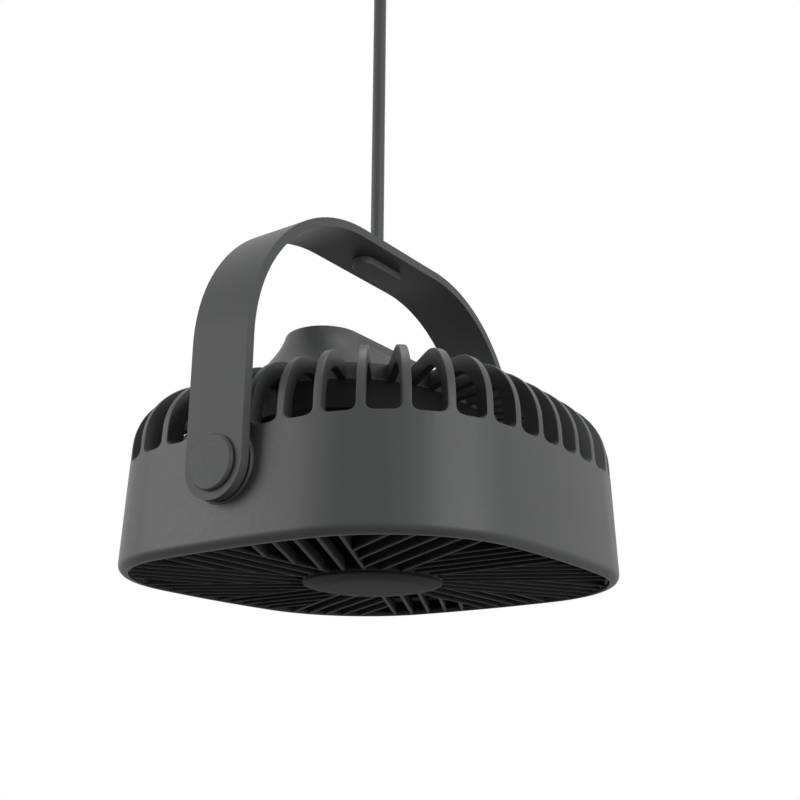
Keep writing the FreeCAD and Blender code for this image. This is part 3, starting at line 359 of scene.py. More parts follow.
def turn_about_z(point: Iterable[float], degrees: float) -> Vector:
    """A point turned about the fan's axis."""
    return Matrix.Rotation(math.radians(degrees), 3, "Z") @ Vector(point)


# Finishes


# Places of a colour mix's inputs and output among the node's sockets.
MIX_LOW, MIX_HIGH, MIX_RESULT = 6, 7, 2
# Repeats of a wave texture per unit of its scale, turned round.
WAVE_LENGTH = math.tau / 20
# The part of a noise texture's range in which nearly all its values lie.
NOISE_RANGE = {"From Min": 0.3, "From Max": 0.7}


def linear(code: str) -> tuple[float, float, float, float]:
    """Turn an sRGB hex colour into linear RGBA.

    Args:
        code: The colour, with a leading hash.

    Returns:
        Red, green, blue and full opacity.
    """
    parts = [int(code[place:place + 2], 16) / 255 for place in (1, 3, 5)]
    scaled = [part / 12.92 if part <= 0.04045 else ((part + 0.055) / 1.055) ** 2.4
              for part in parts]
    return (scaled[0], scaled[1], scaled[2], 1.0)


def add(tree: bpy.types.NodeTree, kind: str, links: dict[str, Any] | None = None,
        sockets: dict[str, Any] | None = None, **settings: Any) -> bpy.types.Node:
    """Add a node with its settings and links.

    Args:
        tree: The node tree.
        kind: The node's type.
        links: Output sockets to link, by the name or index of the input.
        sockets: Values of inputs, by their name or index.
        **settings: Properties of the node.

    Returns:
        The new node.
    """
    node = tree.nodes.new(kind)
    for name, value in settings.items():
        setattr(node, name, value)
    for name, value in (sockets or {}).items():
        node.inputs[name].default_value = value
    for name, output in (links or {}).items():
        tree.links.new(output, node.inputs[name])
    return node


def new_material(name: str) -> tuple[bpy.types.Material, bpy.types.NodeTree, Any]:
    """An empty node material, its tree and the Object output of its coordinates.

    Args:
        name: Name of the material.

    Returns:
        The material, its node tree and the coordinates.
    """
    material = bpy.data.materials.new(name)
    material.use_nodes = True
    tree = material.node_tree
    tree.nodes.clear()
    place = add(tree, "ShaderNodeTexCoord")
    return material, tree, place.outputs["Object"]


def blotches(tree: bpy.types.NodeTree, place: Any, size_mm: float, low: str, high: str) -> Any:
    """Two colours that drift into each other over a real distance.

    Args:
        tree: The node tree.
        place: Coordinates in metres.
        size_mm: Distance over which the colour changes.
        low: First sRGB hex colour.
        high: Second sRGB hex colour.

    Returns:
        The colour output.
    """
    drift = add(tree, "ShaderNodeTexNoise", {"Vector": place},
                {"Scale": 1 / (size_mm * MM), "Detail": 3.0, "Roughness": 0.5})
    mix = add(tree, "ShaderNodeMix", {"Factor": drift.outputs["Fac"]},
              {MIX_LOW: linear(low), MIX_HIGH: linear(high)}, data_type="RGBA")
    return mix.outputs[MIX_RESULT]


@dataclass(frozen=True)
class MouldedPlastic:
    """ABS moulded against a spark-eroded tool: an even, fine, matte grain."""

    name: str
    slot: str
    colour: str
    shade: str
    roughness: float = 0.5
    # The real grain is 0.1 to 0.2 mm and too fine for the render, so it is drawn coarser.
    grain_mm: float = 0.7
    grain_depth_mm: float = 0.018
    # How strongly it mirrors its surroundings; a coarse grain breaks the mirror image up.
    sheen: float = 0.4
    unevenness: float = 0.05
    # Moulding flow and handling make the colour drift over this distance.
    drift_mm: float = 45.0

    def material(self) -> bpy.types.Material:
        """Build the node material.

        Returns:
            The material.
        """
        material, tree, place = new_material(self.name)
        colour = blotches(tree, place, self.drift_mm, self.shade, self.colour)
        grain = add(tree, "ShaderNodeTexNoise", {"Vector": place},
                    {"Scale": 1 / (self.grain_mm * MM), "Detail": 2.0, "Roughness": 0.6})
        gloss = add(tree, "ShaderNodeMapRange", {"Value": grain.outputs["Fac"]},
                    {**NOISE_RANGE, "To Min": self.roughness - self.unevenness,
                     "To Max": self.roughness + self.unevenness})
        bump = add(tree, "ShaderNodeBump", {"Height": grain.outputs["Fac"]},
                   {"Strength": 0.35, "Distance": self.grain_depth_mm * MM})
        shader = add(tree, "ShaderNodeBsdfPrincipled",
                     {"Base Color": colour, "Roughness": gloss.outputs["Result"],
                      "Normal": bump.outputs["Normal"]},
                     {"IOR": 1.5, "Specular IOR Level": self.sheen})
        add(tree, "ShaderNodeOutputMaterial", {"Surface": shader.outputs["BSDF"]})
        return material


@dataclass(frozen=True)
class Metal:
    """A machined, plated or rolled metal with fine lines along one direction."""

    name: str
    slot: str
    colour: str
    shade: str
    roughness: float = 0.32
    # How far apart the tool marks are across each axis; a large value draws them long.
    marks_mm: tuple[float, float, float] = (0.6, 0.6, 0.6)
    marks_depth_mm: float = 0.01
    drift_mm: float = 12.0
    polish: float = 0.08
    wear: float = 0.1

    def material(self) -> bpy.types.Material:
        """Build the node material.

        Returns:
            The material.
        """
        material, tree, place = new_material(self.name)
        colour = blotches(tree, place, self.drift_mm, self.shade, self.colour)
        scale = tuple(1 / (size * MM) for size in self.marks_mm)
        stretch = add(tree, "ShaderNodeMapping", {"Vector": place}, {"Scale": scale})
        marks = add(tree, "ShaderNodeTexNoise", {"Vector": stretch.outputs["Vector"]},
                    {"Scale": 1.0, "Detail": 3.0})
        gloss = add(tree, "ShaderNodeMapRange", {"Value": marks.outputs["Fac"]},
                    {**NOISE_RANGE, "To Min": self.roughness - self.polish,
                     "To Max": self.roughness + self.wear})
        bump = add(tree, "ShaderNodeBump", {"Height": marks.outputs["Fac"]},
                   {"Strength": 0.2, "Distance": self.marks_depth_mm * MM})
        shader = add(tree, "ShaderNodeBsdfPrincipled",
                     {"Base Color": colour, "Roughness": gloss.outputs["Result"],
                      "Normal": bump.outputs["Normal"]}, {"Metallic": 1.0})
        add(tree, "ShaderNodeOutputMaterial", {"Surface": shader.outputs["BSDF"]})
        return material


class Lines(Enum):
    """How the layers of a piece show on it, by the wave texture's own word."""

    SHEETS = "BANDS"
    TURNS = "RINGS"


@dataclass(frozen=True)
class Layered:
    """Metal in fine layers, such as stacked sheets or wire laid turn beside turn."""

    name: str
    slot: str
    colour: str
    shade: str
    lines: Lines
    layer_mm: float
    waver: float
    depth_mm: float
    strength: float
    metallic: float = 1.0
    roughness: float = 0.3
    coat: float = 0.0

    def material(self) -> bpy.types.Material:
        """Build the node material.

        Returns:
            The material.
        """
        material, tree, place = new_material(self.name)
        kind = self.lines.value
        wave = add(tree, "ShaderNodeTexWave", {"Vector": place},
                   {"Scale": WAVE_LENGTH / (self.layer_mm * MM), "Distortion": self.waver},
                   wave_type=kind, **{f"{kind.lower()}_direction": "Z"})
        # For wire, the light and dark of each turn are painted highlight and painted shade; for
        # sheets, the dark lines are the joints between them.
        mix = add(tree, "ShaderNodeMix", {"Factor": wave.outputs["Fac"]},
                  {MIX_LOW: linear(self.shade), MIX_HIGH: linear(self.colour)},
                  data_type="RGBA")
        bump = add(tree, "ShaderNodeBump", {"Height": wave.outputs["Fac"]},
                   {"Strength": self.strength, "Distance": self.depth_mm * MM})
        shader = add(tree, "ShaderNodeBsdfPrincipled",
                     {"Base Color": mix.outputs[MIX_RESULT], "Normal": bump.outputs["Normal"]},
                     {"Metallic": self.metallic, "Roughness": self.roughness,
                      "Coat Weight": self.coat})
        add(tree, "ShaderNodeOutputMaterial", {"Surface": shader.outputs["BSDF"]})
        return material


@dataclass(frozen=True)
class SmokedWindow:
    """Dark transparent acrylic, polished, that lets the charge lamps show when lit."""

    name: str
    slot: str
    colour: str
    haze_mm: float = 4.0
    # The polish varies a little from spot to spot.
    gloss: Flat = (0.04, 0.12)

    def material(self) -> bpy.types.Material:
        """Build the node material.

        Returns:
            The material.
        """
        material, tree, place = new_material(self.name)
        haze = add(tree, "ShaderNodeTexNoise", {"Vector": place},
                   {"Scale": 1 / (self.haze_mm * MM), "Detail": 2.0})
        gloss = add(tree, "ShaderNodeMapRange", {"Value": haze.outputs["Fac"]},
                    {"To Min": self.gloss[0], "To Max": self.gloss[1]})
        shader = add(tree, "ShaderNodeBsdfPrincipled",
                     {"Roughness": gloss.outputs["Result"]},
                     {"Base Color": linear(self.colour), "IOR": 1.49,
                      "Transmission Weight": 0.35})
        add(tree, "ShaderNodeOutputMaterial", {"Surface": shader.outputs["BSDF"]})
        return material


@dataclass(frozen=True)
class Dielectric:
    """A plain non-metal, such as rubber, resin, ferrite or board laminate."""

    name: str
    slot: str
    colour: str
    shade: str
    roughness: float
    # Size of the grain or weave, and how deep it is.
    grain_mm: float
    depth_mm: float

    def material(self) -> bpy.types.Material:
        """Build the node material.

        Returns:
            The material.
        """
        material, tree, place = new_material(self.name)
        colour = blotches(tree, place, self.grain_mm * 8, self.shade, self.colour)
        grain = add(tree, "ShaderNodeTexVoronoi", {"Vector": place},
                    {"Scale": 1 / (self.grain_mm * MM)})
        bump = add(tree, "ShaderNodeBump", {"Height": grain.outputs["Distance"]},
                   {"Strength": 0.4, "Distance": self.depth_mm * MM})
        shader = add(tree, "ShaderNodeBsdfPrincipled",
                     {"Base Color": colour, "Normal": bump.outputs["Normal"]},
                     {"Roughness": self.roughness, "IOR": 1.5})
        add(tree, "ShaderNodeOutputMaterial", {"Surface": shader.outputs["BSDF"]})
        return material


Finish = MouldedPlastic | Metal | Layered | SmokedWindow | Dielectric

# Dark grey ABS of the housing: matte, with a soft broad sheen on its roundings.
HOUSING_ABS = MouldedPlastic("housing ABS", "housing_plastic", "#4c4d4e", "#494a4b", 0.46)
# The band is tougher polypropylene, a touch lighter and duller than the housing.
BAND_PP = MouldedPlastic("band polypropylene", "handle_plastic", "#545556", "#505152", 0.48,
                         sheen=0.25)
# The grille is a darker grey than the housing, a painted shade for its downward faces, with a
# coarse grain that hardly mirrors anything.
GRILLE_ABS_PAINTED_SHADE = MouldedPlastic("grille ABS with painted shade", "grille_plastic", "#404142", "#3c3d3e", 0.55,
                            sheen=0.1)
# The hub cap is a darker plastic, made nearly black as painted shade for its downward face, and
# dull, so that it stays quiet in front of the bars.
CAP_ABS_PAINTED_SHADE = MouldedPlastic("hub cap ABS with painted shade", "hub_plastic", "#222223", "#1f1f20", 0.6, sheen=0.1)
# Inner mouldings and blades in near-black ABS, semi-matte, made darker still as painted shade for
# the hollow inside the housing.
BLACK_ABS_AND_PAINTED_SHADE = MouldedPlastic("black ABS with painted shade", "black_plastic", "#141415", "#101011", 0.6, sheen=0.2)
# Unpainted nylon of tray and socket body, a milky grey.
PALE_NYLON = MouldedPlastic("pale nylon", "pale_plastic", "#a7a59c", "#9c9a91", 0.5)
# Buttons in the housing's grey, polished a little by fingers.
BUTTON_ABS = MouldedPlastic("button ABS", "button_plastic", "#5c5d5f", "#58595b", 0.36)
# Acetal bushes: off-white, waxy and smooth.
ACETAL = MouldedPlastic("acetal", "acetal", "#c9c7bf", "#bfbdb4", 0.34, grain_depth_mm=0.006)
# Powder-coated steel rod: dark grey with the slight orange peel of the powder.
POWDER_COAT = MouldedPlastic("powder coat on steel", "painted_rod", "#4a4b4c", "#464748", 0.38,
                             grain_mm=0.9, grain_depth_mm=0.03)
# Zinc-plated screws and nuts: bluish, bright, with turning marks.
ZINC_STEEL = Metal("zinc-plated steel", "zinc_steel", "#b9bcc0", "#a4a7ab", 0.3)
# The rotor cup is drawn steel with lines round it.
ROTOR_STEEL = Metal("drawn steel", "rotor_steel", "#a9aaac", "#939496", 0.34, (4.0, 4.0, 0.4))
# Cast and machined aluminium of the motor's base.
MOTOR_ALLOY = Metal("machined aluminium", "motor_metal", "#b4b5b6", "#a0a1a2", 0.38)
# Sleeved steel cans of the cells, with the satin blue-green shrink sleeve on them.
CELL_SLEEVE = MouldedPlastic("cell sleeve", "cell_can", "#3f7d78", "#3a746f", 0.3,
                             grain_depth_mm=0.006)
# Varnished steel sheets 0.35 mm thick, whose edges show as fine level lines.
SHEET_STACK = Layered("motor laminations", "lamination_steel", "#8b8c8e", "#5a5b5d",
                      Lines.SHEETS, 0.35, 0.2, 0.05, 0.5, 0.8, 0.42)
# Enamelled copper wire 0.4 mm thick under a clear coat; its colour runs from bright over each
# rounded turn to dark between turns, a painted highlight and painted shade.
COPPER = Layered("enamelled copper", "copper_wire", "#b8693a", "#7c4022",
                 Lines.TURNS, 0.4, 0.6, 0.15, 0.8, coat=0.6)
# Sintered ferrite is dark grey, dry and slightly sparkling.
FERRITE = Dielectric("ferrite", "ferrite", "#34353a", "#2b2c30", 0.55, 0.5, 0.02)
# Glass-cloth laminate under green solder mask: half gloss over a fine weave.
LAMINATE = Dielectric("board laminate", "board_laminate", "#1f5c3c", "#1b5235", 0.3, 0.8, 0.01)
# Clear-yellow resin of the charge lamps.
LAMP_RESIN = Dielectric("lamp resin", "lamp_resin", "#dcd8b4", "#d2cda6", 0.25, 0.6, 0.01)
# Nitrile rubber washers: black and dull.
NITRILE = Dielectric("nitrile rubber", "washer_rubber", "#1d1d1d", "#171717", 0.8, 0.5, 0.03)
# Polished smoked acrylic over the charge lamps: almost black until they light.
SMOKED_ACRYLIC = SmokedWindow("smoked acrylic", "smoked_window", "#1a1c1f")

CARRIED_OVER: dict[str, Finish] = {
    "air_duct": BLACK_ABS_AND_PAINTED_SHADE, "inner_tub": BLACK_ABS_AND_PAINTED_SHADE, "tub_screws": ZINC_STEEL,
    "motor_base": MOTOR_ALLOY, "motor_screws": ZINC_STEEL, "shaft_bearings": ROTOR_STEEL,
    "stator_core_stack": SHEET_STACK, "stator_coils": COPPER, "rotor_cup": ROTOR_STEEL,
    "rotor_magnets": FERRITE, "motor_shaft": ROTOR_STEEL, "battery_cells": CELL_SLEEVE,
    "battery_tray": PALE_NYLON, "control_board": LAMINATE, "push_switches": BLACK_ABS_AND_PAINTED_SHADE,
    "charge_lamps": LAMP_RESIN, "charging_socket": ZINC_STEEL,
    "charge_display": SMOKED_ACRYLIC, "pivot_screw_left": ZINC_STEEL,
    "pivot_screw_right": ZINC_STEEL, "pivot_nut_left": ZINC_STEEL,
    "pivot_nut_right": ZINC_STEEL, "friction_washer_left": NITRILE,
    "friction_washer_right": NITRILE, "pivot_bush_left": ACETAL, "pivot_bush_right": ACETAL,
}


class PaintShop:
    """Makes each material once and gives it to the pieces that wear it."""

    def __init__(self) -> None:
        """Start with no materials made."""
        self.made: dict[str, bpy.types.Material] = {}

    def material(self, finish: Finish) -> bpy.types.Material:
        """The material of a finish, built at its first use.

        Args:
            finish: The finish.

        Returns:
            Its material.
        """
        if finish.name not in self.made:
            self.made[finish.name] = finish.material()
        return self.made[finish.name]

    def dress_node(self, node: str, finish: Finish) -> None:
        """Assign a finish to the material slots of a carried-over node."""
        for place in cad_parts[node].material_slots:
            place.material = self.material(finish)

    def hand_over(self, made: bpy.types.Object, body: str, finish: Finish,
                  nodes: Sequence[str], smooth_angle: float = 32.0) -> bpy.types.Object:
        """Shade, dress and mount a finished piece.

        Args:
            made: The finished mesh.
            body: The body that it moves with.
            finish: Its finish.
            nodes: The nodes that it stands for.
            smooth_angle: Edges sharper than this stay sharp, in degrees.

        Returns:
            The piece.
        """
        pick(made)
        bpy.ops.object.shade_smooth_by_angle(angle=math.radians(smooth_angle))
        apply_modifier(made, "WEIGHTED_NORMAL", mode="FACE_AREA", keep_sharp=True)
        made.data.materials.clear()
        made.data.materials.append(self.material(finish))
        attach(made, body)
        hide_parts(*nodes)
        LOG.info("%s: %d faces on %s", made.name, len(made.data.polygons), body)
        return made


# Outlines


@dataclass(frozen=True)
class Plan:
    """The housing's outline: a square with bulged sides and widely rounded corners."""

    half_width: float = 95.4
    side_radius: float = 420.0
    corner_radius: float = 62.0
    rim: float = 2.5
    # How far the side walls lean inwards as they rise, in degrees.
    lean: float = 2.3
    side_steps: int = 8
    corner_steps: int = 20

    @property
    def away(self) -> float:
        """Distance of a side arc's centre beyond the axis."""
        return self.side_radius - self.half_width

    @property
    def corner(self) -> float:
        """Distance of a corner arc's centre from both middle planes."""
        reach = self.side_radius - self.corner_radius
        return (math.sqrt(2 * reach ** 2 - self.away ** 2) - self.away) / 2

    @property
    def side_angle(self) -> float:
        """Half the angle of a side arc, in degrees."""
        return math.degrees(math.atan2(self.corner, self.corner + self.away))

    def drawn_in(self, height: float) -> float:
        """How far the leaning wall has come in at a height."""
        return (height - self.rim) * math.tan(math.radians(self.lean))

    def rounding(self, inset: float, radius: float, middle: float, level: float,
                 steps: int) -> list[Flat]:
        """The arc between the leaning wall and a level face, as pairs of inset and height.

        Args:
            inset: How far the rounded skin lies behind the wall's face.
            radius: Radius of the arc.
            middle: Height of the arc's centre.
            level: Angle of the arc's level end in degrees, 90 at its top, 270 at its foot.
            steps: Segments of the arc.

        Returns:
            Points from the wall to the level face, with insets from the rim's outline.
        """
        lean = math.radians(self.lean)
        centre = inset + self.drawn_in(middle) + radius / math.cos(lean)
        return arc((centre, middle), radius, 180 - self.lean, level, steps)

    def ring(self, inset: float, height: float) -> Ring:
        """The outline moved inwards from the wall's face, at a height.

        Args:
            inset: Distance inwards from the wall's face.
            height: Height of the ring.

        Returns:
            The points in order.
        """
        inset += self.drawn_in(height)
        points: Ring = []
        for quarter in range(4):
            side = arc((-self.away, 0.0), self.side_radius - inset, -self.side_angle,
                       self.side_angle, self.side_steps)
            corner = arc((self.corner, self.corner), self.corner_radius - inset,
                         self.side_angle, 90 - self.side_angle, self.corner_steps)
            for x, y in side + corner[1:-1]:
                points.append(tuple(turn_about_z((x, y, height), quarter * 90)))
        return points

    def reach(self, polar: float, inset: float) -> float:
        """Distance from the axis to the moved outline.

        Args:
            polar: Direction in radians.
            inset: How far the outline is moved inwards.

        Returns:
            The distance in millimetres.
        """
        quarter = math.pi / 2
        folded = abs((polar + quarter / 2) % quarter - quarter / 2)
        across = self.away * math.sin(folded)
        side = (math.sqrt((self.side_radius - inset) ** 2 - across ** 2)
                - self.away * math.cos(folded))
        seen = math.atan2(side * math.sin(folded), side * math.cos(folded) + self.away)
        if math.degrees(seen) <= self.side_angle:
            return side
        lean = self.corner * (math.cos(folded) + math.sin(folded))
        radius = self.corner_radius - inset
        return lean + math.sqrt(lean ** 2 - 2 * self.corner ** 2 + radius ** 2)

    def crossing(self, polar: float, across: float, inset: float) -> float:
        """Where a line beside a ray meets the moved outline.

        Args:
            polar: Direction of the ray in radians.
            across: Distance of the line from the ray.
            inset: How far the outline is moved inwards.

        Returns:
            The distance along the ray.
        """
        along = self.reach(polar, inset)
        for _ in range(4):
            radius = self.reach(polar + math.atan2(across, along), inset)
            along = math.sqrt(radius ** 2 - across ** 2)
        return along


@dataclass(frozen=True)
class Stadium:
    """Two half circles joined by straight sides, long in X."""

    half_length: float
    half_width: float
    arc_steps: int = 28

    def ring(self, height: float) -> Ring:
        """The outline at a height.

        Args:
            height: Height of the ring.

        Returns:
            The points in order.
        """
        middle = self.half_length - self.half_width
        right = arc((middle, 0.0), self.half_width, -90, 90, self.arc_steps)
        left = arc((-middle, 0.0), self.half_width, 90, 270, self.arc_steps)
        return [(x, y, height) for x, y in right + left]

    def reach(self, polar: float) -> float:
        """Distance from the axis to the outline, for a direction in radians.

        Args:
            polar: Direction in radians.

        Returns:
            The distance.
        """
        middle = self.half_length - self.half_width
        flat = self.half_width / max(abs(math.sin(polar)), 1e-9)
        if flat * abs(math.cos(polar)) <= middle:
            return flat
        along = middle * abs(math.cos(polar))
        return along + math.sqrt(along ** 2 - middle ** 2 + self.half_width ** 2)


def stadium_block(name: str, outline: Stadium, low: float, high: float,
                  low_edge: float = 0.0, high_edge: float = 0.0) -> bpy.types.Object:
    """A flat stadium with rounded edges.

    Args:
        name: Name of the new object.
        outline: Its plan.
        low: Height of its lower face.
        high: Height of its upper face.
        low_edge: Rounding of the lower edge.
        high_edge: Rounding of the upper edge.

    Returns:
        The closed mesh.
    """
    section: list[Flat] = []
    if low_edge:
        section += [(low_edge - x, low + low_edge + y)
                    for x, y in arc((0, 0), low_edge, -90, 0, 3)]
    else:
        section.append((0.0, low))
    if high_edge:
        section += [(high_edge - x, high - high_edge + y)
                    for x, y in arc((0, 0), high_edge, 0, 90, 3)]
    else:
        section.append((0.0, high))
    rings = [Stadium(outline.half_length - inset, outline.half_width - inset,
                     outline.arc_steps).ring(height) for inset, height in section]
    return loft(name, rings, Ends.FILL)


# Sub-assemblies

PLAN = Plan()
PIVOT_HEIGHT = 33.7
# How far the ribs run on beyond the shoulder, before they are stretched to the pod.
RIB_END = 10.0
# How far they then reach into the pod's wall.
RIB_BITE = 1.6
# Steps of the rib along the shoulder, and of the pod's sweep.
SWEEP_STEPS = 12


def rib_point(polar: float, across: float, inset: float, height: float) -> tuple[float, ...]:
    """A point of the cage, beside a rib's middle plane.

    Args:
        polar: Direction of the rib in radians.
        across: Distance from its middle plane.
        inset: Distance inwards from the rim's outline.
        height: Height of the point.

    Returns:
        The point.
    """
    crest = PLAN.rounding(0.0, Housing.shoulder, Housing.crown - Housing.shoulder, 90, 1)[-1][0]
    along = PLAN.crossing(polar, across, min(inset, crest))
    if inset > crest:
        share = (inset - crest) / RIB_END
        along += share * (Stadium(*Housing.pod_foot).reach(polar) - RIB_BITE - along)
    return tuple(turn_about_z((along, across, height), math.degrees(polar)))


@dataclass(frozen=True)
class Housing:
    """Side wall, ribbed cage, pod and pivot pads, all one moulding."""

    lip: float = 4.4
    wall: float = 3.0
    rim: float = 2.5
    lip_top: float = 8.5
    sill: float = 47.7
    sill_depth: float = 4.0
    rim_radius: float = 3.6
    edge: float = 0.45
    rib_count: int = 39
    rib_phase: float = 269.4
    rib_width: float = 3.4
    rib_depth: float = 7.0
    rib_foot: float = 3.0
    foot_steps: int = 4
    shoulder: float = 26.0
    crown: float = 80.5
    pod_top: float = 103.0
    pod_foot: Flat = (66.0, 50.0)
    pod_head: Flat = (53.5, 17.0)
    flare: float = 1.6
    pod_wall: float = 2.4
    cover_inset: float = 5.0
    cover_depth: float = 1.8
    cover_ledge: float = 1.8
    recess_edge: float = 0.3
    # Insets and drops of the rounding round the pod's top.
    pod_edge: tuple[Flat, ...] = ((0.25, 0.35), (0.7, 0.06), (1.1, 0.0))
    pad_radius: float = 15.0
    pad_root: float = 92.6
    pad_face: float = 95.346
    pad_edge: float = 0.6
    nut_boss_radius: float = 9.0
    nut_seat: float = 88.747
    bore: float = 3.05
    bore_faces: int = 32
    # Two corners of the charging port's mouth in the pod's end.
    mouth: tuple[tuple[float, float, float], ...] = ((50.0, -4.9, 95.7), (66.0, 4.9, 99.8))

    def rib_polar(self, index: int) -> float:
        """Direction of a rib in radians."""
        return math.radians(self.rib_phase + index * 360 / self.rib_count)

    def columns(self) -> list[Flat]:
        """Direction in radians, and distance beside it, of each column of points.

        Returns:
            The columns, once round.
        """
        foot = self.rib_width / 2 + self.rib_foot
        inset = PLAN.drawn_in(self.sill)
        columns: list[Flat] = []
        for index in range(self.rib_count):
            polar, following = self.rib_polar(index), self.rib_polar(index + 1)
            columns += [(polar, -foot), (polar, 0.0), (polar, foot)]
            start = polar + math.atan2(foot, PLAN.crossing(polar, foot, inset))
            end = following - math.atan2(foot, PLAN.crossing(following, -foot, inset))
            columns += [(start + (end - start) * share, 0.0) for share in (1 / 3, 2 / 3)]
        return columns

    def build_wall(self) -> bpy.types.Object:
        """The side wall with its rolled rim, the lip for the grille and the thick sill.

        Returns:
            The closed wall.
        """
        sill_under = self.sill - self.sill_depth
        flat = [(self.lip, self.lip_top), (self.lip, self.rim + 0.2), (self.lip - 0.2, self.rim)]
        section = [(inset + PLAN.drawn_in(height), height) for inset, height in flat]
        section += reversed(PLAN.rounding(0.0, self.rim_radius, self.rim + self.rim_radius,
                                          270, 8))
        flat = [(0.0, self.sill - 20), (0.0, self.sill), (self.rib_depth, self.sill),
                (self.rib_depth, sill_under), (self.wall, sill_under), (self.wall, self.lip_top)]
        section += [(inset + PLAN.drawn_in(height), height) for inset, height in flat]
        rings = []
        for inset, height in section:
            rings.append([rib_point(polar, across, inset, height)
                          for polar, across in self.columns()])
        return loft("housing", rings, Ends.JOIN)

    def rib_stations(self) -> list[tuple[Flat, Flat, float]]:
        """Outer point, inner point and half width of a rib, from the sill to the pod.

        Returns:
            The stations in order.
        """
        half = self.rib_width / 2
        stations = []
        for step in range(1, self.foot_steps + 1):
            turn = math.radians(90.0 * step / self.foot_steps)
            height = self.sill + self.rib_foot * (1 - math.cos(turn))
            inset = PLAN.drawn_in(height)
            stations.append(((inset, height), (self.rib_depth + inset, height),
                             half + self.rib_foot * (1 - math.sin(turn))))
        middle = self.crown - self.shoulder
        outer, inner = (PLAN.rounding(depth, self.shoulder - depth, middle, 90, SWEEP_STEPS)
                        for depth in (0.0, self.rib_depth))
        stations += [(out, deep, half) for out, deep in zip(outer, inner)]
        end = outer[-1][0] + RIB_END
        stations.append(((end, self.crown), (end, self.crown - self.rib_depth), half))
        return stations

    def rib_feet(self, mesh: bmesh.types.BMesh) -> dict[int, tuple[float, int, bool]]:
        """Select the sill's faces under the ribs.

        Args:
            mesh: The wall in edit mode.

        Returns:
            For each point of these faces its rib's direction in radians, which side of the
            rib it is on, and whether it is on the inner row.
        """
        pitch = math.tau / self.rib_count
        foot = self.rib_width / 2 + self.rib_foot
        inset = PLAN.drawn_in(self.sill) + self.rib_depth / 2

        def placed(point: Vector) -> tuple[float, float, float]:
            polar = math.atan2(point.y, point.x)
            index = round((polar - self.rib_polar(0)) / pitch)
            beside = polar - self.rib_polar(index)
            reach = math.hypot(point.x, point.y) / MM
            return self.rib_polar(index), reach * math.cos(beside), reach * math.sin(beside)

        feet = {}
        for face in mesh.faces:
            centre = face.calc_center_median()
            if abs(centre.z / MM - self.sill) > 0.01 or abs(placed(centre)[2]) > foot:
                continue
            face.select_set(True)
            for vertex in face.verts:
                polar, along, across = placed(vertex.co)
                deep = along < PLAN.crossing(polar, across, inset)
                feet[vertex.index] = (polar, round(across / foot), deep)
        return feet

    def grow_ribs(self, made: bpy.types.Object) -> None:
        """Extrude all the ribs together out of the wall's sill, over the shoulder to the pod.

        Args:
            made: The wall.
        """
        pick(made)
        bpy.ops.object.mode_set(mode="EDIT")
        bpy.ops.mesh.select_mode(type="FACE")
        bpy.ops.mesh.select_all(action="DESELECT")
        places = self.rib_feet(bmesh.from_edit_mesh(made.data))
        bpy.ops.mesh.select_mode(type="FACE")
        for outer, inner, half in self.rib_stations():
            bpy.ops.mesh.extrude_region_move()
            mesh = bmesh.from_edit_mesh(made.data)
            mesh.verts.ensure_lookup_table()
            moved = {}
            for index, (polar, side, deep) in places.items():
                new = grown_from(mesh, index)
                inset, height = inner if deep else outer
                new.co = Vector(rib_point(polar, side * half, inset, height)) * MM
                moved[new.index] = (polar, side, deep)
            places = moved
            bmesh.update_edit_mesh(made.data)
        bpy.ops.mesh.select_mode(type="VERT")
        close_up(made)

    def add_pads(self, made: bpy.types.Object) -> None:
        """Add the pivot pads, the nuts' bosses inside them and the bore through both.

        Args:
            made: The cage.
        """
        for side in (1, -1):
            rounding = arc((self.pad_face - self.pad_edge, self.pad_radius - self.pad_edge),
                           self.pad_edge, 90, 0, 3)
            pad = ([(self.pad_root, 0.0), (self.pad_root, self.pad_radius)] + rounding
                   + [(self.pad_face, 0.0)])
            boss = [(self.nut_seat, 0.0), (self.nut_seat, self.nut_boss_radius),
                    (self.pad_root, self.nut_boss_radius), (self.pad_root, 0.0)]
            for name, profile in (("pad", pad), ("boss", boss)):
                combine(made, "UNION", turned_at_pivot(name, side, profile))
        reach = self.pad_face + 2
        bore = [(-reach, 0.0), (-reach, self.bore), (reach, self.bore), (reach, 0.0)]
        combine(made, "DIFFERENCE", turned_at_pivot("bore", 1, bore, self.bore_faces))

    def pod_outline(self, height: float, top: float, inset: float) -> Ring:
        """The pod's outline at a height, for a skin moved inwards.

        Args:
            height: Height of the outline.
            top: Where the sweep ends.
            inset: How far the skin is moved inwards.

        Returns:
            The points in order.
        """
        share = min(1.0, (top - height) / (top - self.crown))
        bend = share ** self.flare
        length, width = (head + (foot - head) * bend - inset
                         for head, foot in zip(self.pod_head, self.pod_foot))
        return Stadium(length, width).ring(height)

    def build_pod(self) -> bpy.types.Object:
        """The pod: an upright foot, sides that sweep in, and the recess for its cover.

        Returns:
            The closed pod.
        """
        top = self.pod_top
        base = self.crown - self.rib_depth
        shares = range(SWEEP_STEPS + 1)
        steps = [self.crown + (top - 1 - self.crown) * index / SWEEP_STEPS for index in shares]
        rings = [self.pod_outline(height, top, 0.0) for height in [base] + steps]
        head_length, head_width = self.pod_head
        ledge = self.cover_inset + self.cover_ledge
        edge = self.recess_edge
        for inset, height in (*((inset, top - drop) for inset, drop in self.pod_edge),
                              (self.cover_inset - edge, top), (self.cover_inset, top - edge),
                              (self.cover_inset, top - self.cover_depth),
                              (ledge, top - self.cover_depth), (ledge, top - self.pod_wall)):
            rings.append(Stadium(head_length - inset, head_width - inset).ring(height))
        under = top - self.pod_wall
        inner = [under - (under - self.crown) * index / SWEEP_STEPS for index in shares]
        rings += [self.pod_outline(height, under, self.pod_wall) for height in inner + [base]]
        made = loft("pod", rings, Ends.JOIN)
        combine(made, "DIFFERENCE", block("mouth", *self.mouth))
        return made

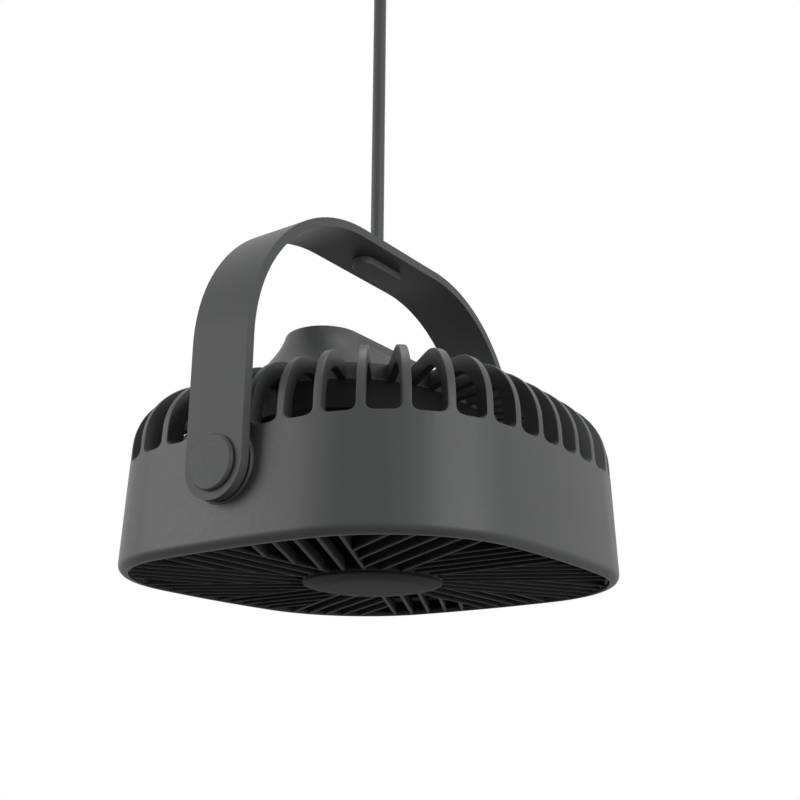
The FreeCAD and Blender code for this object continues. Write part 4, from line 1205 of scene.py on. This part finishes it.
    def build(self, shop: PaintShop) -> None:
        """Build the moulding and hand it over.

        Args:
            shop: Dresses the finished pieces and takes them.
        """
        cage = self.build_wall()
        self.grow_ribs(cage)
        bevel(cage, self.edge, 2, 50.0)
        self.add_pads(cage)
        shop.hand_over(join("housing", [cage, self.build_pod()]), "housing", HOUSING_ABS,
                       ["rear_shell"])


@dataclass(frozen=True)
class Grille:
    """Frame, hub disc and a pinwheel of bars, one moulding, with the cap in its middle."""

    gap: float = 0.2
    frame_width: float = 1.8
    face: float = 2.8
    frame_face: float = 3.7
    top: float = 8.5
    frame_edge: float = 0.4
    bar_edge: float = 0.5
    bar_depth: float = 4.5
    bar_width: float = 1.6
    bar_pitch: float = 8.67
    bar_offset: float = -0.2
    bars: int = 5
    sectors: int = 12
    disc: float = 30.3
    cap: float = 29.9
    cap_flat: float = 23.6
    cap_crown: float = 0.3
    cap_slope: float = 1.5
    # Width of the steep edge, and radius of its rounding.
    cap_border: float = 0.9
    cap_edge: float = 0.5
    cap_bevel: float = 2.2

    def build_frame(self) -> bpy.types.Object:
        """The square frame that snaps into the lip of the housing.

        Returns:
            The closed frame.
        """
        outer = Housing.lip + self.gap
        inner = outer + self.frame_width
        edge = self.frame_edge
        section = [(outer, self.top), (outer, self.frame_face + edge),
                   (outer + edge, self.frame_face), (inner - edge, self.frame_face),
                   (inner, self.frame_face + edge), (inner, self.top)]
        return loft("frame", [PLAN.ring(inset, height) for inset, height in section], Ends.JOIN)

    def build_bar_master(self) -> bpy.types.Object:
        """One bar, a unit long, with both lower edges rounded.

        Returns:
            The bar.
        """
        half = self.bar_width / 2
        edge = self.bar_edge
        low = [(half - edge + x, self.face + edge + y)
               for x, y in arc((0, 0), edge, 0, -90, 3)]
        section = [(half, self.face + self.bar_depth)] + low
        section += [(-x, z) for x, z in reversed(section)]
        return loft("bar", [[(x, y, z) for y, z in section] for x in (0.0, 1.0)], Ends.FILL)

    def bar_rule(self, sector: int, index: int) -> Rule:
        """Where one bar of one sector runs from and to.

        Args:
            sector: Number of the sector.
            index: Number of the bar in it.

        Returns:
            The rule that stretches the unit bar.
        """
        turn = 360 / self.sectors
        across = self.bar_offset + index * self.bar_pitch
        lean = math.radians(turn)
        near = self.disc * 0.6
        if index > 1:
            near = (across - self.bar_offset * math.cos(lean)) / math.tan(lean)
        polar = math.radians(sector * turn)
        inset = Housing.lip + self.gap + self.frame_width / 2

        def rule(point: Vector) -> tuple[float, float, float]:
            side = point.y - across
            far = PLAN.crossing(polar, side, inset + PLAN.drawn_in(point.z))
            along = near if point.x < 0.5 else far
            return tuple(turn_about_z((along, side, point.z), sector * turn))

        return rule

    def build(self, shop: PaintShop) -> None:
        """Build grille and cap and hand them over.

        Args:
            shop: Dresses the finished pieces and takes them.
        """
        master = self.build_bar_master()
        high = self.face + self.bar_depth
        disc = [(0.0, high), (0.0, self.face), (self.disc - self.bar_edge, self.face),
                (self.disc, self.face + self.bar_edge), (self.disc, high)]
        pieces = [self.build_frame(), turned("disc", disc, steps=WIDE_ROUND)]
        for sector in range(self.sectors):
            for index in range(self.bars):
                name = f"bar_{sector}_{index}"
                pieces.append(copy_shaped(master, name, self.bar_rule(sector, index)))
        bpy.data.objects.remove(master)
        shop.hand_over(join("grille", pieces), "housing", GRILLE_ABS_PAINTED_SHADE, ["front_grille"])

        edge = arc((self.cap - self.cap_edge, self.cap_bevel), self.cap_edge, -60, 0, 3)
        slope = [(self.cap - self.cap_border, self.cap_slope)]
        cap = ([(0.0, 0.0), (self.cap_flat * 0.4, self.cap_crown * 0.12),
                (self.cap_flat * 0.75, self.cap_crown * 0.5), (self.cap_flat, self.cap_crown)]
               + slope + edge + [(self.cap, self.face), (0.0, self.face)])
        shop.hand_over(turned("hub_cap_moulding", cap, steps=WIDE_ROUND), "housing", CAP_ABS_PAINTED_SHADE,
                       ["hub_cap"])


@dataclass(frozen=True)
class Impeller:
    """Hub over the rotor cup and seven cambered, twisted blades."""

    blade_count: int = 7
    hub: float = 25.0
    cup: float = 21.5
    shaft: float = 1.5
    face: float = 30.9
    base: float = 33.0
    top: float = 54.5
    middle: float = 42.75
    tip: float = 79.34
    root_chord: float = 24.0
    tip_chord: float = 34.0
    root_pitch: float = 42.0
    tip_pitch: float = 24.0
    thickness: float = 1.8
    # Thickness at the root against the mean, and how much of it is gone at the tip.
    root_swell: float = 1.25
    thinning: float = 0.45
    camber: float = 0.05
    section_steps: int = 9
    stations: int = 8
    root_bite: float = 1.0
    hub_edge: float = 2.0
    hub_faces: int = 84
    nut: float = 4.5
    nut_height: float = 4.0
    nut_dome: float = 1.2

    def section(self, share: float) -> Ring:
        """The blade's section at a share of the way from its root to its tip.

        Args:
            share: 0 at the root, 1 at the tip.

        Returns:
            The section's points.
        """
        radius = (self.hub - self.root_bite
                  + (self.tip - self.hub + self.root_bite) * share)
        chord = self.root_chord + (self.tip_chord - self.root_chord) * share
        pitch = math.radians(self.root_pitch + (self.tip_pitch - self.root_pitch) * share)
        thick = self.thickness * (self.root_swell - self.thinning * share)
        steps = self.section_steps
        points: Ring = []
        for face in (1, -1):
            places = range(steps + 1) if face > 0 else range(steps - 1, 0, -1)
            for place in places:
                part = 0.5 - 0.5 * math.cos(math.pi * place / steps)
                along = (part - 0.5) * chord
                bow = 4 * self.camber * chord * part * (1 - part)
                swell = thick * math.sqrt(max(0.0, math.sin(math.pi * part))) / 2
                across = bow + face * swell
                y = along * math.cos(pitch) - across * math.sin(pitch)
                z = self.middle + along * math.sin(pitch) + across * math.cos(pitch)
                x = math.sqrt(radius ** 2 - y ** 2)
                points.append((x, y, z))
        return points

    def build(self, shop: PaintShop) -> None:
        """Build the impeller with its nut and hand them over.

        Args:
            shop: Dresses the finished pieces and takes them.
        """
        hub = ([(self.shaft, self.face)]
               + arc((self.hub - self.hub_edge, self.face + self.hub_edge), self.hub_edge,
                     -90, 0, 4)
               + [(self.hub, self.top), (self.cup, self.top), (self.cup, self.base),
                  (self.shaft, self.base)])
        pieces = [turned("blade_hub", hub, steps=self.hub_faces)]
        blade = loft("blade", [self.section(index / self.stations)
                               for index in range(self.stations + 1)], Ends.FILL)
        for index in range(self.blade_count):
            turn = index * 360 / self.blade_count
            pieces.append(copy_shaped(blade, f"blade_{index}",
                                      lambda point, turn=turn: turn_about_z(point, turn)))
        bpy.data.objects.remove(blade)
        shop.hand_over(join("impeller_moulding", pieces), "impeller_rotor", BLACK_ABS_AND_PAINTED_SHADE,
                       ["impeller"])
        low = self.face - self.nut_height
        dome = self.nut_dome
        nut = ([(self.shaft, low)] + arc((self.nut - dome, low + dome), dome, -90, 0, 3)
               + [(self.nut, self.face), (self.shaft, self.face)])
        shop.hand_over(turned("impeller_nut_turned", nut, steps=SMALL_ROUND), "impeller_rotor",
                       ZINC_STEEL, ["impeller_nut"])


@dataclass(frozen=True)
class PodControls:
    """Flush cover on the pod with its two buttons."""

    top: float = 103.0
    depth: float = 1.8
    outline: Stadium = Stadium(48.35, 11.85)
    button_x: Flat = (-38.0, -22.0)
    button: float = 4.5
    button_gap: float = 0.25
    flange: float = 5.6
    flange_top: float = 101.0
    proud: float = 1.0
    button_edge: float = 0.6
    cover_edge: float = 0.4
    # Radii of the dish in a button, and how deep it is there.
    dish: tuple[Flat, ...] = ((2.6, 0.12), (1.2, 0.3), (0.0, 0.35))
    # Two corners of the light strip's window.
    window: tuple[Flat, Flat] = ((-3.1, -1.7), (15.1, 1.7))

    def build(self, shop: PaintShop) -> None:
        """Build the cover and both buttons and hand them over.

        Args:
            shop: Dresses the finished pieces and takes them.
        """
        low = self.top - self.depth
        cover = stadium_block("cover", self.outline, low, self.top, 0.0, self.cover_edge)
        hole = self.button + self.button_gap
        for x in self.button_x:
            profile = [(0.0, low - 1), (hole, low - 1), (hole, self.top + 1), (0.0, self.top + 1)]
            tool = turned("hole", profile, steps=SMALL_ROUND)
            combine(cover, "DIFFERENCE", slide(tool, x))
        (left, near), (right, far) = self.window
        combine(cover, "DIFFERENCE", block("window", (left, near, low - 1),
                                           (right, far, self.top + 1)))
        shop.hand_over(join("pod_cover_moulding", [cover]), "housing", HOUSING_ABS,
                       ["pod_cover"])
        high = self.top + self.proud
        cap = ([(0.0, self.flange_top - 1), (self.flange, self.flange_top - 1),
                (self.flange, self.flange_top), (self.button, self.flange_top)]
               + arc((self.button - self.button_edge, high - self.button_edge),
                     self.button_edge, 0, 90, 4)
               + [(radius, high - depth) for radius, depth in self.dish])
        for name, x in zip(("power_button", "speed_button"), self.button_x):
            made = slide(turned(f"{name}_cap", cap, steps=SMALL_ROUND), x)
            shop.hand_over(made, name, BUTTON_ABS, [name])


@dataclass(frozen=True)
class Handle:
    """Flat U-shaped band with a slot in its top, and the round cover over each pivot."""

    inner: float = 96.147
    outer: float = 100.146
    width: float = 28.8
    under: float = 150.8
    top: float = 154.8
    bend: float = 72.0
    slot: Stadium = Stadium(13.0, 4.2, 16)
    edge: float = 0.55
    bore: float = 5.0
    counterbore: float = 8.0
    leg_floor: float = 1.4
    cap: float = 10.9
    cap_height: float = 1.8
    cap_edge: float = 0.8
    cap_step: float = 0.3
    # The cap's collar fits the counterbore with this gap, so thick and so deep.
    collar_gap: float = 0.05
    collar_wall: float = 1.1
    collar_depth: float = 1.7
    bend_steps: int = 30
    # Angles round the leg's round end at which it has a row of points, in degrees.
    foot_angles: tuple[int, ...] = (88, 84, 78, 71, 63, 54, 45, 36, 27, 18, 9, 0)

    def stations(self) -> list[tuple[Flat, Flat, float]]:
        """Outer point, inner point and half width of the band, from foot to foot.

        Returns:
            The stations in order.
        """
        half = self.width / 2
        leg = []
        for angle in self.foot_angles:
            lean = math.radians(angle)
            height = PIVOT_HEIGHT - half * math.sin(lean)
            leg.append(((self.outer, height), (self.inner, height), half * math.cos(lean)))
        centre = (self.outer - self.bend, self.top - self.bend)
        thick = self.top - self.under
        turn = []
        for out, deep in zip(arc(centre, self.bend, 0, 90, self.bend_steps),
                             arc(centre, self.bend - thick, 0, 90, self.bend_steps)):
            turn.append((out, deep, half))
        right = leg + turn
        left = [((-out[0], out[1]), (-deep[0], deep[1]), width)
                for out, deep, width in reversed(right)]
        return right + left

    def build_band(self) -> bpy.types.Object:
        """The band itself.

        Returns:
            The closed band.
        """
        rings = [[(out[0], -width, out[1]), (out[0], width, out[1]),
                  (deep[0], width, deep[1]), (deep[0], -width, deep[1])]
                 for out, deep, width in self.stations()]
        made = loft("band", rings, Ends.FILL)
        slot = stadium_block("slot", self.slot, self.under - 1, self.top + 1)
        combine(made, "DIFFERENCE", slot)
        for side in (1, -1):
            floor = self.inner + self.leg_floor
            reach = self.outer + 1
            profile = [(self.inner - 1, 0.0), (self.inner - 1, self.bore), (floor, self.bore),
                       (floor, self.counterbore), (reach, self.counterbore), (reach, 0.0)]
            combine(made, "DIFFERENCE", turned_at_pivot("bore", side, profile, SMALL_ROUND))
        bevel(made, self.edge, 3, 50.0)
        return made

    def build(self, shop: PaintShop) -> None:
        """Build band and caps and hand them over.

        Args:
            shop: Dresses the finished pieces and takes them.
        """
        shop.hand_over(self.build_band(), "handle", BAND_PP, ["handle_band"])
        face = self.outer + self.cap_height
        plug = self.outer - self.collar_depth
        collar = self.counterbore - self.collar_gap
        hollow = collar - self.collar_wall
        profile = ([(self.outer, 0.0), (self.outer, hollow), (plug, hollow), (plug, collar),
                    (self.outer, collar), (self.outer, self.cap - self.cap_step),
                    (self.outer + self.cap_step, self.cap)]
                   + arc((face - self.cap_edge, self.cap - self.cap_edge), self.cap_edge,
                         90, 0, 4) + [(face, 0.0)])
        for side, name in ((1, "right"), (-1, "left")):
            made = turned_at_pivot(f"pivot_cap_{name}_moulding", side, profile)
            shop.hand_over(made, "handle", BAND_PP, [f"pivot_cap_{name}"])


@dataclass(frozen=True)
class Hanger:
    """Foot that slides in the slot, the rod that turns in it, and the eye on top."""

    outline: Stadium = Stadium(15.0, 5.5, 20)
    seam: float = 147.7
    foot_top: float = 150.5
    cover: float = 1.0
    tongue: Stadium = Stadium(6.0, 4.0, 20)
    tongue_height: float = 3.8
    rod: float = 3.1
    rod_gap: float = 0.1
    head: float = 4.3
    head_top: float = 149.3
    head_height: float = 1.3
    rod_top: float = 322.8
    eye_base: float = 310.8
    eye_centre: float = 337.8
    eye: float = 10.99
    eye_bore: float = 5.5
    eye_thickness: float = 6.0
    shank: float = 4.8
    shank_length: float = 18.0
    foot_edge: float = 0.45
    tongue_edge: float = 0.3
    tongue_root: float = 0.5
    cover_edge: float = 0.5
    # Hairline between the foot and the plate under it.
    seam_gap: float = 0.02
    # Play of the rod's head in its pocket, beside it and above it.
    head_play: Flat = (0.3, 0.2)
    head_edge: float = 0.2
    rod_edge: float = 0.3
    shank_edge: float = 0.8
    shank_taper: Flat = (0.5, 3.0)
    eye_edge: float = 1.6
    eye_bore_edge: float = 0.8

    def build_foot(self, shop: PaintShop) -> None:
        """The foot with its tongue, and the plate that closes it.

        Args:
            shop: Dresses the finished pieces and takes them.
        """
        foot = stadium_block("foot", self.outline, self.seam, self.foot_top, 0.0,
                             self.foot_edge)
        tongue_top = self.foot_top + self.tongue_height
        tongue = stadium_block("tongue", self.tongue, self.foot_top - self.tongue_root,
                               tongue_top, 0.0, self.tongue_edge)
        combine(foot, "UNION", tongue)
        bore = self.rod + self.rod_gap
        pocket, ceiling = self.head + self.head_play[0], self.head_top + self.head_play[1]
        profile = [(0.0, self.seam - 1), (pocket, self.seam - 1), (pocket, ceiling),
                   (bore, ceiling), (bore, tongue_top + 1), (0.0, tongue_top + 1)]
        combine(foot, "DIFFERENCE", turned("foot_bore", profile, steps=SMALL_ROUND))
        shop.hand_over(join("slot_foot_moulding", [foot]), "slider", BAND_PP, ["slot_foot"])
        plate = stadium_block("foot_cover_plate", self.outline, self.seam - self.cover,
                              self.seam - self.seam_gap, self.cover_edge, 0.0)
        shop.hand_over(plate, "slider", BAND_PP, ["foot_cover"])

    def build_eye(self) -> bpy.types.Object:
        """The eye: a shank screwed onto the rod, and a thick ring with rounded edges.

        Returns:
            The eye, one closed mesh.
        """
        low, high = self.eye_base, self.eye_base + self.shank_length
        edge = self.shank_edge
        taper_width, taper_height = self.shank_taper
        stem = [(0.0, self.rod_top), (self.rod, self.rod_top), (self.rod, low),
                (self.shank - edge, low)]
        stem += arc((self.shank - edge, low + edge), edge, -90, 0, 3)[1:]
        stem += [(self.shank, high - taper_height), (self.shank - taper_width, high),
                 (0.0, high)]
        made = turned("eye_shank", stem, steps=SMALL_ROUND)
        half = self.eye_thickness / 2
        outside, inside = self.eye_edge, self.eye_bore_edge
        upper = (arc((self.eye - outside, half - outside), outside, 0, 90, 4)
                 + arc((self.eye_bore + inside, half - inside), inside, 90, 180, 4))
        section = upper + [(radius, -side) for radius, side in reversed(upper)]
        ring = start_ring("eye_ring", [(radius, side, self.eye_centre)
                                       for radius, side in section])
        bpy.ops.mesh.spin(steps=COMMON_ROUND, angle=math.tau, axis=(0.0, 1.0, 0.0),
                          center=(0.0, 0.0, self.eye_centre * MM))
        combine(made, "UNION", close_up(ring))
        return join("hanging_eye_turned", [made])

    def build(self, shop: PaintShop) -> None:
        """Build foot, rod and eye and hand them over.

        Args:
            shop: Dresses the finished pieces and takes them.
        """
        self.build_foot(shop)
        low = self.head_top - self.head_height
        rod = [(0.0, low), (self.head - self.head_edge, low), (self.head, low + self.head_edge),
               (self.head, self.head_top), (self.rod, self.head_top),
               (self.rod, self.rod_top - self.rod_edge),
               (self.rod - self.rod_edge, self.rod_top), (0.0, self.rod_top)]
        shop.hand_over(turned("rod_turned", rod, steps=SMALL_ROUND), "hanger", POWDER_COAT,
                       ["hanging_rod"])
        shop.hand_over(self.build_eye(), "hanger", POWDER_COAT, ["hanging_eye"])


# Studio


@dataclass(frozen=True)
class Lamp:
    """A square soft light, aimed at the middle of the fan."""

    name: str
    place: tuple[float, float, float]
    side_m: float
    watts: float

    def build(self, target: Vector) -> None:
        """Add the lamp.

        Args:
            target: The point that it is aimed at.
        """
        data = bpy.data.lights.new(self.name, "AREA")
        data.shape = "SQUARE"
        data.size = self.side_m
        data.energy = self.watts
        made = bpy.data.objects.new(self.name, data)
        made.location = self.place
        aim = (target - made.location).to_track_quat("-Z", "Y")
        made.rotation_mode = "QUATERNION"
        made.rotation_quaternion = aim
        bpy.context.collection.objects.link(made)


@dataclass(frozen=True)
class Studio:
    """Plain floor, soft lamps and the camera at the photograph's angle."""

    floor_height_m: float = -1.1
    floor_half_m: float = 9.0
    # The floor as it is seen, its own share of light, and as it throws light back up.
    floor_seen: str = "#6c6c6c"
    floor_glow: str = "#b8b8b8"
    floor_thrown: str = "#303030"
    sky: str = "#ffffff"
    sky_strength: float = 0.1
    aim_m: tuple[float, float, float] = (0.0, 0.0, 0.07)
    sensor_mm: float = 36.0
    clip_m: float = 0.01
    lens_mm: float = 53.28
    camera_mm: tuple[float, float, float] = (-405.66, -304.88, -81.49)
    pitch: float = 0.3177
    yaw: float = 0.6223
    roll: float = 0.0061
    lamps: tuple[Lamp, ...] = (
        Lamp("key", (-1.35, 1.25, 0.45), 1.2, 15.5),
        Lamp("right fill", (-0.15, -2.0, 0.25), 1.6, 28.0),
        Lamp("top", (0.1, 0.2, 2.0), 1.0, 10.0),
    )

    def build_world(self) -> None:
        """White to the eye and in reflections, a plain soft sky to everything else."""
        world = bpy.data.worlds.new("studio")
        bpy.context.scene.world = world
        world.use_nodes = True
        tree = world.node_tree
        tree.nodes.clear()
        seen = self.seen_directly(tree)
        white = add(tree, "ShaderNodeBackground", None,
                    {"Color": linear(self.sky), "Strength": 1.0})
        soft = add(tree, "ShaderNodeBackground", None,
                   {"Color": linear(self.sky), "Strength": self.sky_strength})
        mix = add(tree, "ShaderNodeMixShader",
                  {0: seen, 1: soft.outputs[0], 2: white.outputs[0]})
        add(tree, "ShaderNodeOutputWorld", {"Surface": mix.outputs[0]})

    @staticmethod
    def seen_directly(tree: bpy.types.NodeTree) -> Any:
        """One for rays from the camera, from gloss and through glass, else nothing.

        Args:
            tree: The node tree.

        Returns:
            The factor, 0 or 1.
        """
        path = add(tree, "ShaderNodeLightPath")
        shiny = add(tree, "ShaderNodeMath", {0: path.outputs["Is Glossy Ray"],
                                             1: path.outputs["Is Transmission Ray"]},
                    operation="MAXIMUM")
        seen = add(tree, "ShaderNodeMath", {0: path.outputs["Is Camera Ray"],
                                            1: shiny.outputs[0]}, operation="MAXIMUM")
        return seen.outputs[0]

    def build_floor(self) -> None:
        """A pale floor that throws little light back up."""
        clear_selection()
        bpy.ops.mesh.primitive_plane_add(size=2 * self.floor_half_m,
                                         location=(0.0, 0.0, self.floor_height_m))
        floor = bpy.context.object
        floor.name = "floor"
        material = bpy.data.materials.new("pale floor")
        material.use_nodes = True
        tree = material.node_tree
        tree.nodes.clear()
        lit = add(tree, "ShaderNodeBsdfDiffuse", None, {"Color": linear(self.floor_seen)})
        glow = add(tree, "ShaderNodeEmission", None,
                   {"Color": linear(self.floor_glow), "Strength": 1.0})
        pale = add(tree, "ShaderNodeAddShader", {0: lit.outputs[0], 1: glow.outputs[0]})
        dim = add(tree, "ShaderNodeBsdfDiffuse", None, {"Color": linear(self.floor_thrown)})
        mix = add(tree, "ShaderNodeMixShader",
                  {0: self.seen_directly(tree), 1: dim.outputs[0], 2: pale.outputs[0]})
        add(tree, "ShaderNodeOutputMaterial", {"Surface": mix.outputs[0]})
        floor.data.materials.append(material)

    def build_camera(self) -> None:
        """The camera, placed and turned as the photograph was taken."""
        forward = Vector((math.cos(self.pitch) * math.cos(self.yaw),
                          math.cos(self.pitch) * math.sin(self.yaw), math.sin(self.pitch)))
        level = Vector((math.sin(self.yaw), -math.cos(self.yaw), 0.0))
        upright = level.cross(forward)
        right = level * math.cos(self.roll) + upright * math.sin(self.roll)
        up = upright * math.cos(self.roll) - level * math.sin(self.roll)
        turn = Matrix((right, up, -forward)).transposed()
        data = bpy.data.cameras.new("camera")
        data.lens = self.lens_mm
        data.sensor_width = self.sensor_mm
        data.clip_start = self.clip_m
        made = bpy.data.objects.new("camera", data)
        made.matrix_world = (Matrix.Translation(Vector(self.camera_mm) * MM)
                             @ turn.to_4x4())
        bpy.context.collection.objects.link(made)
        bpy.context.scene.camera = made

    def build(self) -> None:
        """Set up floor, sky, lamps and camera."""
        bpy.context.scene.view_settings.view_transform = "Standard"
        self.build_world()
        self.build_floor()
        for lamp in self.lamps:
            lamp.build(Vector(self.aim_m))
        self.build_camera()


def main() -> None:
    """Build every sub-assembly in order and report it."""
    logging.basicConfig(level=logging.INFO, format="%(message)s")
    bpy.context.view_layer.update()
    shop = PaintShop()
    for node, finish in CARRIED_OVER.items():
        shop.dress_node(node, finish)
    for assembly in (Housing(), Grille(), Impeller(), PodControls(), Handle(), Hanger()):
        LOG.info("building %s", type(assembly).__name__)
        assembly.build(shop)
    Studio().build()


if __name__ == "__main__":
    main()
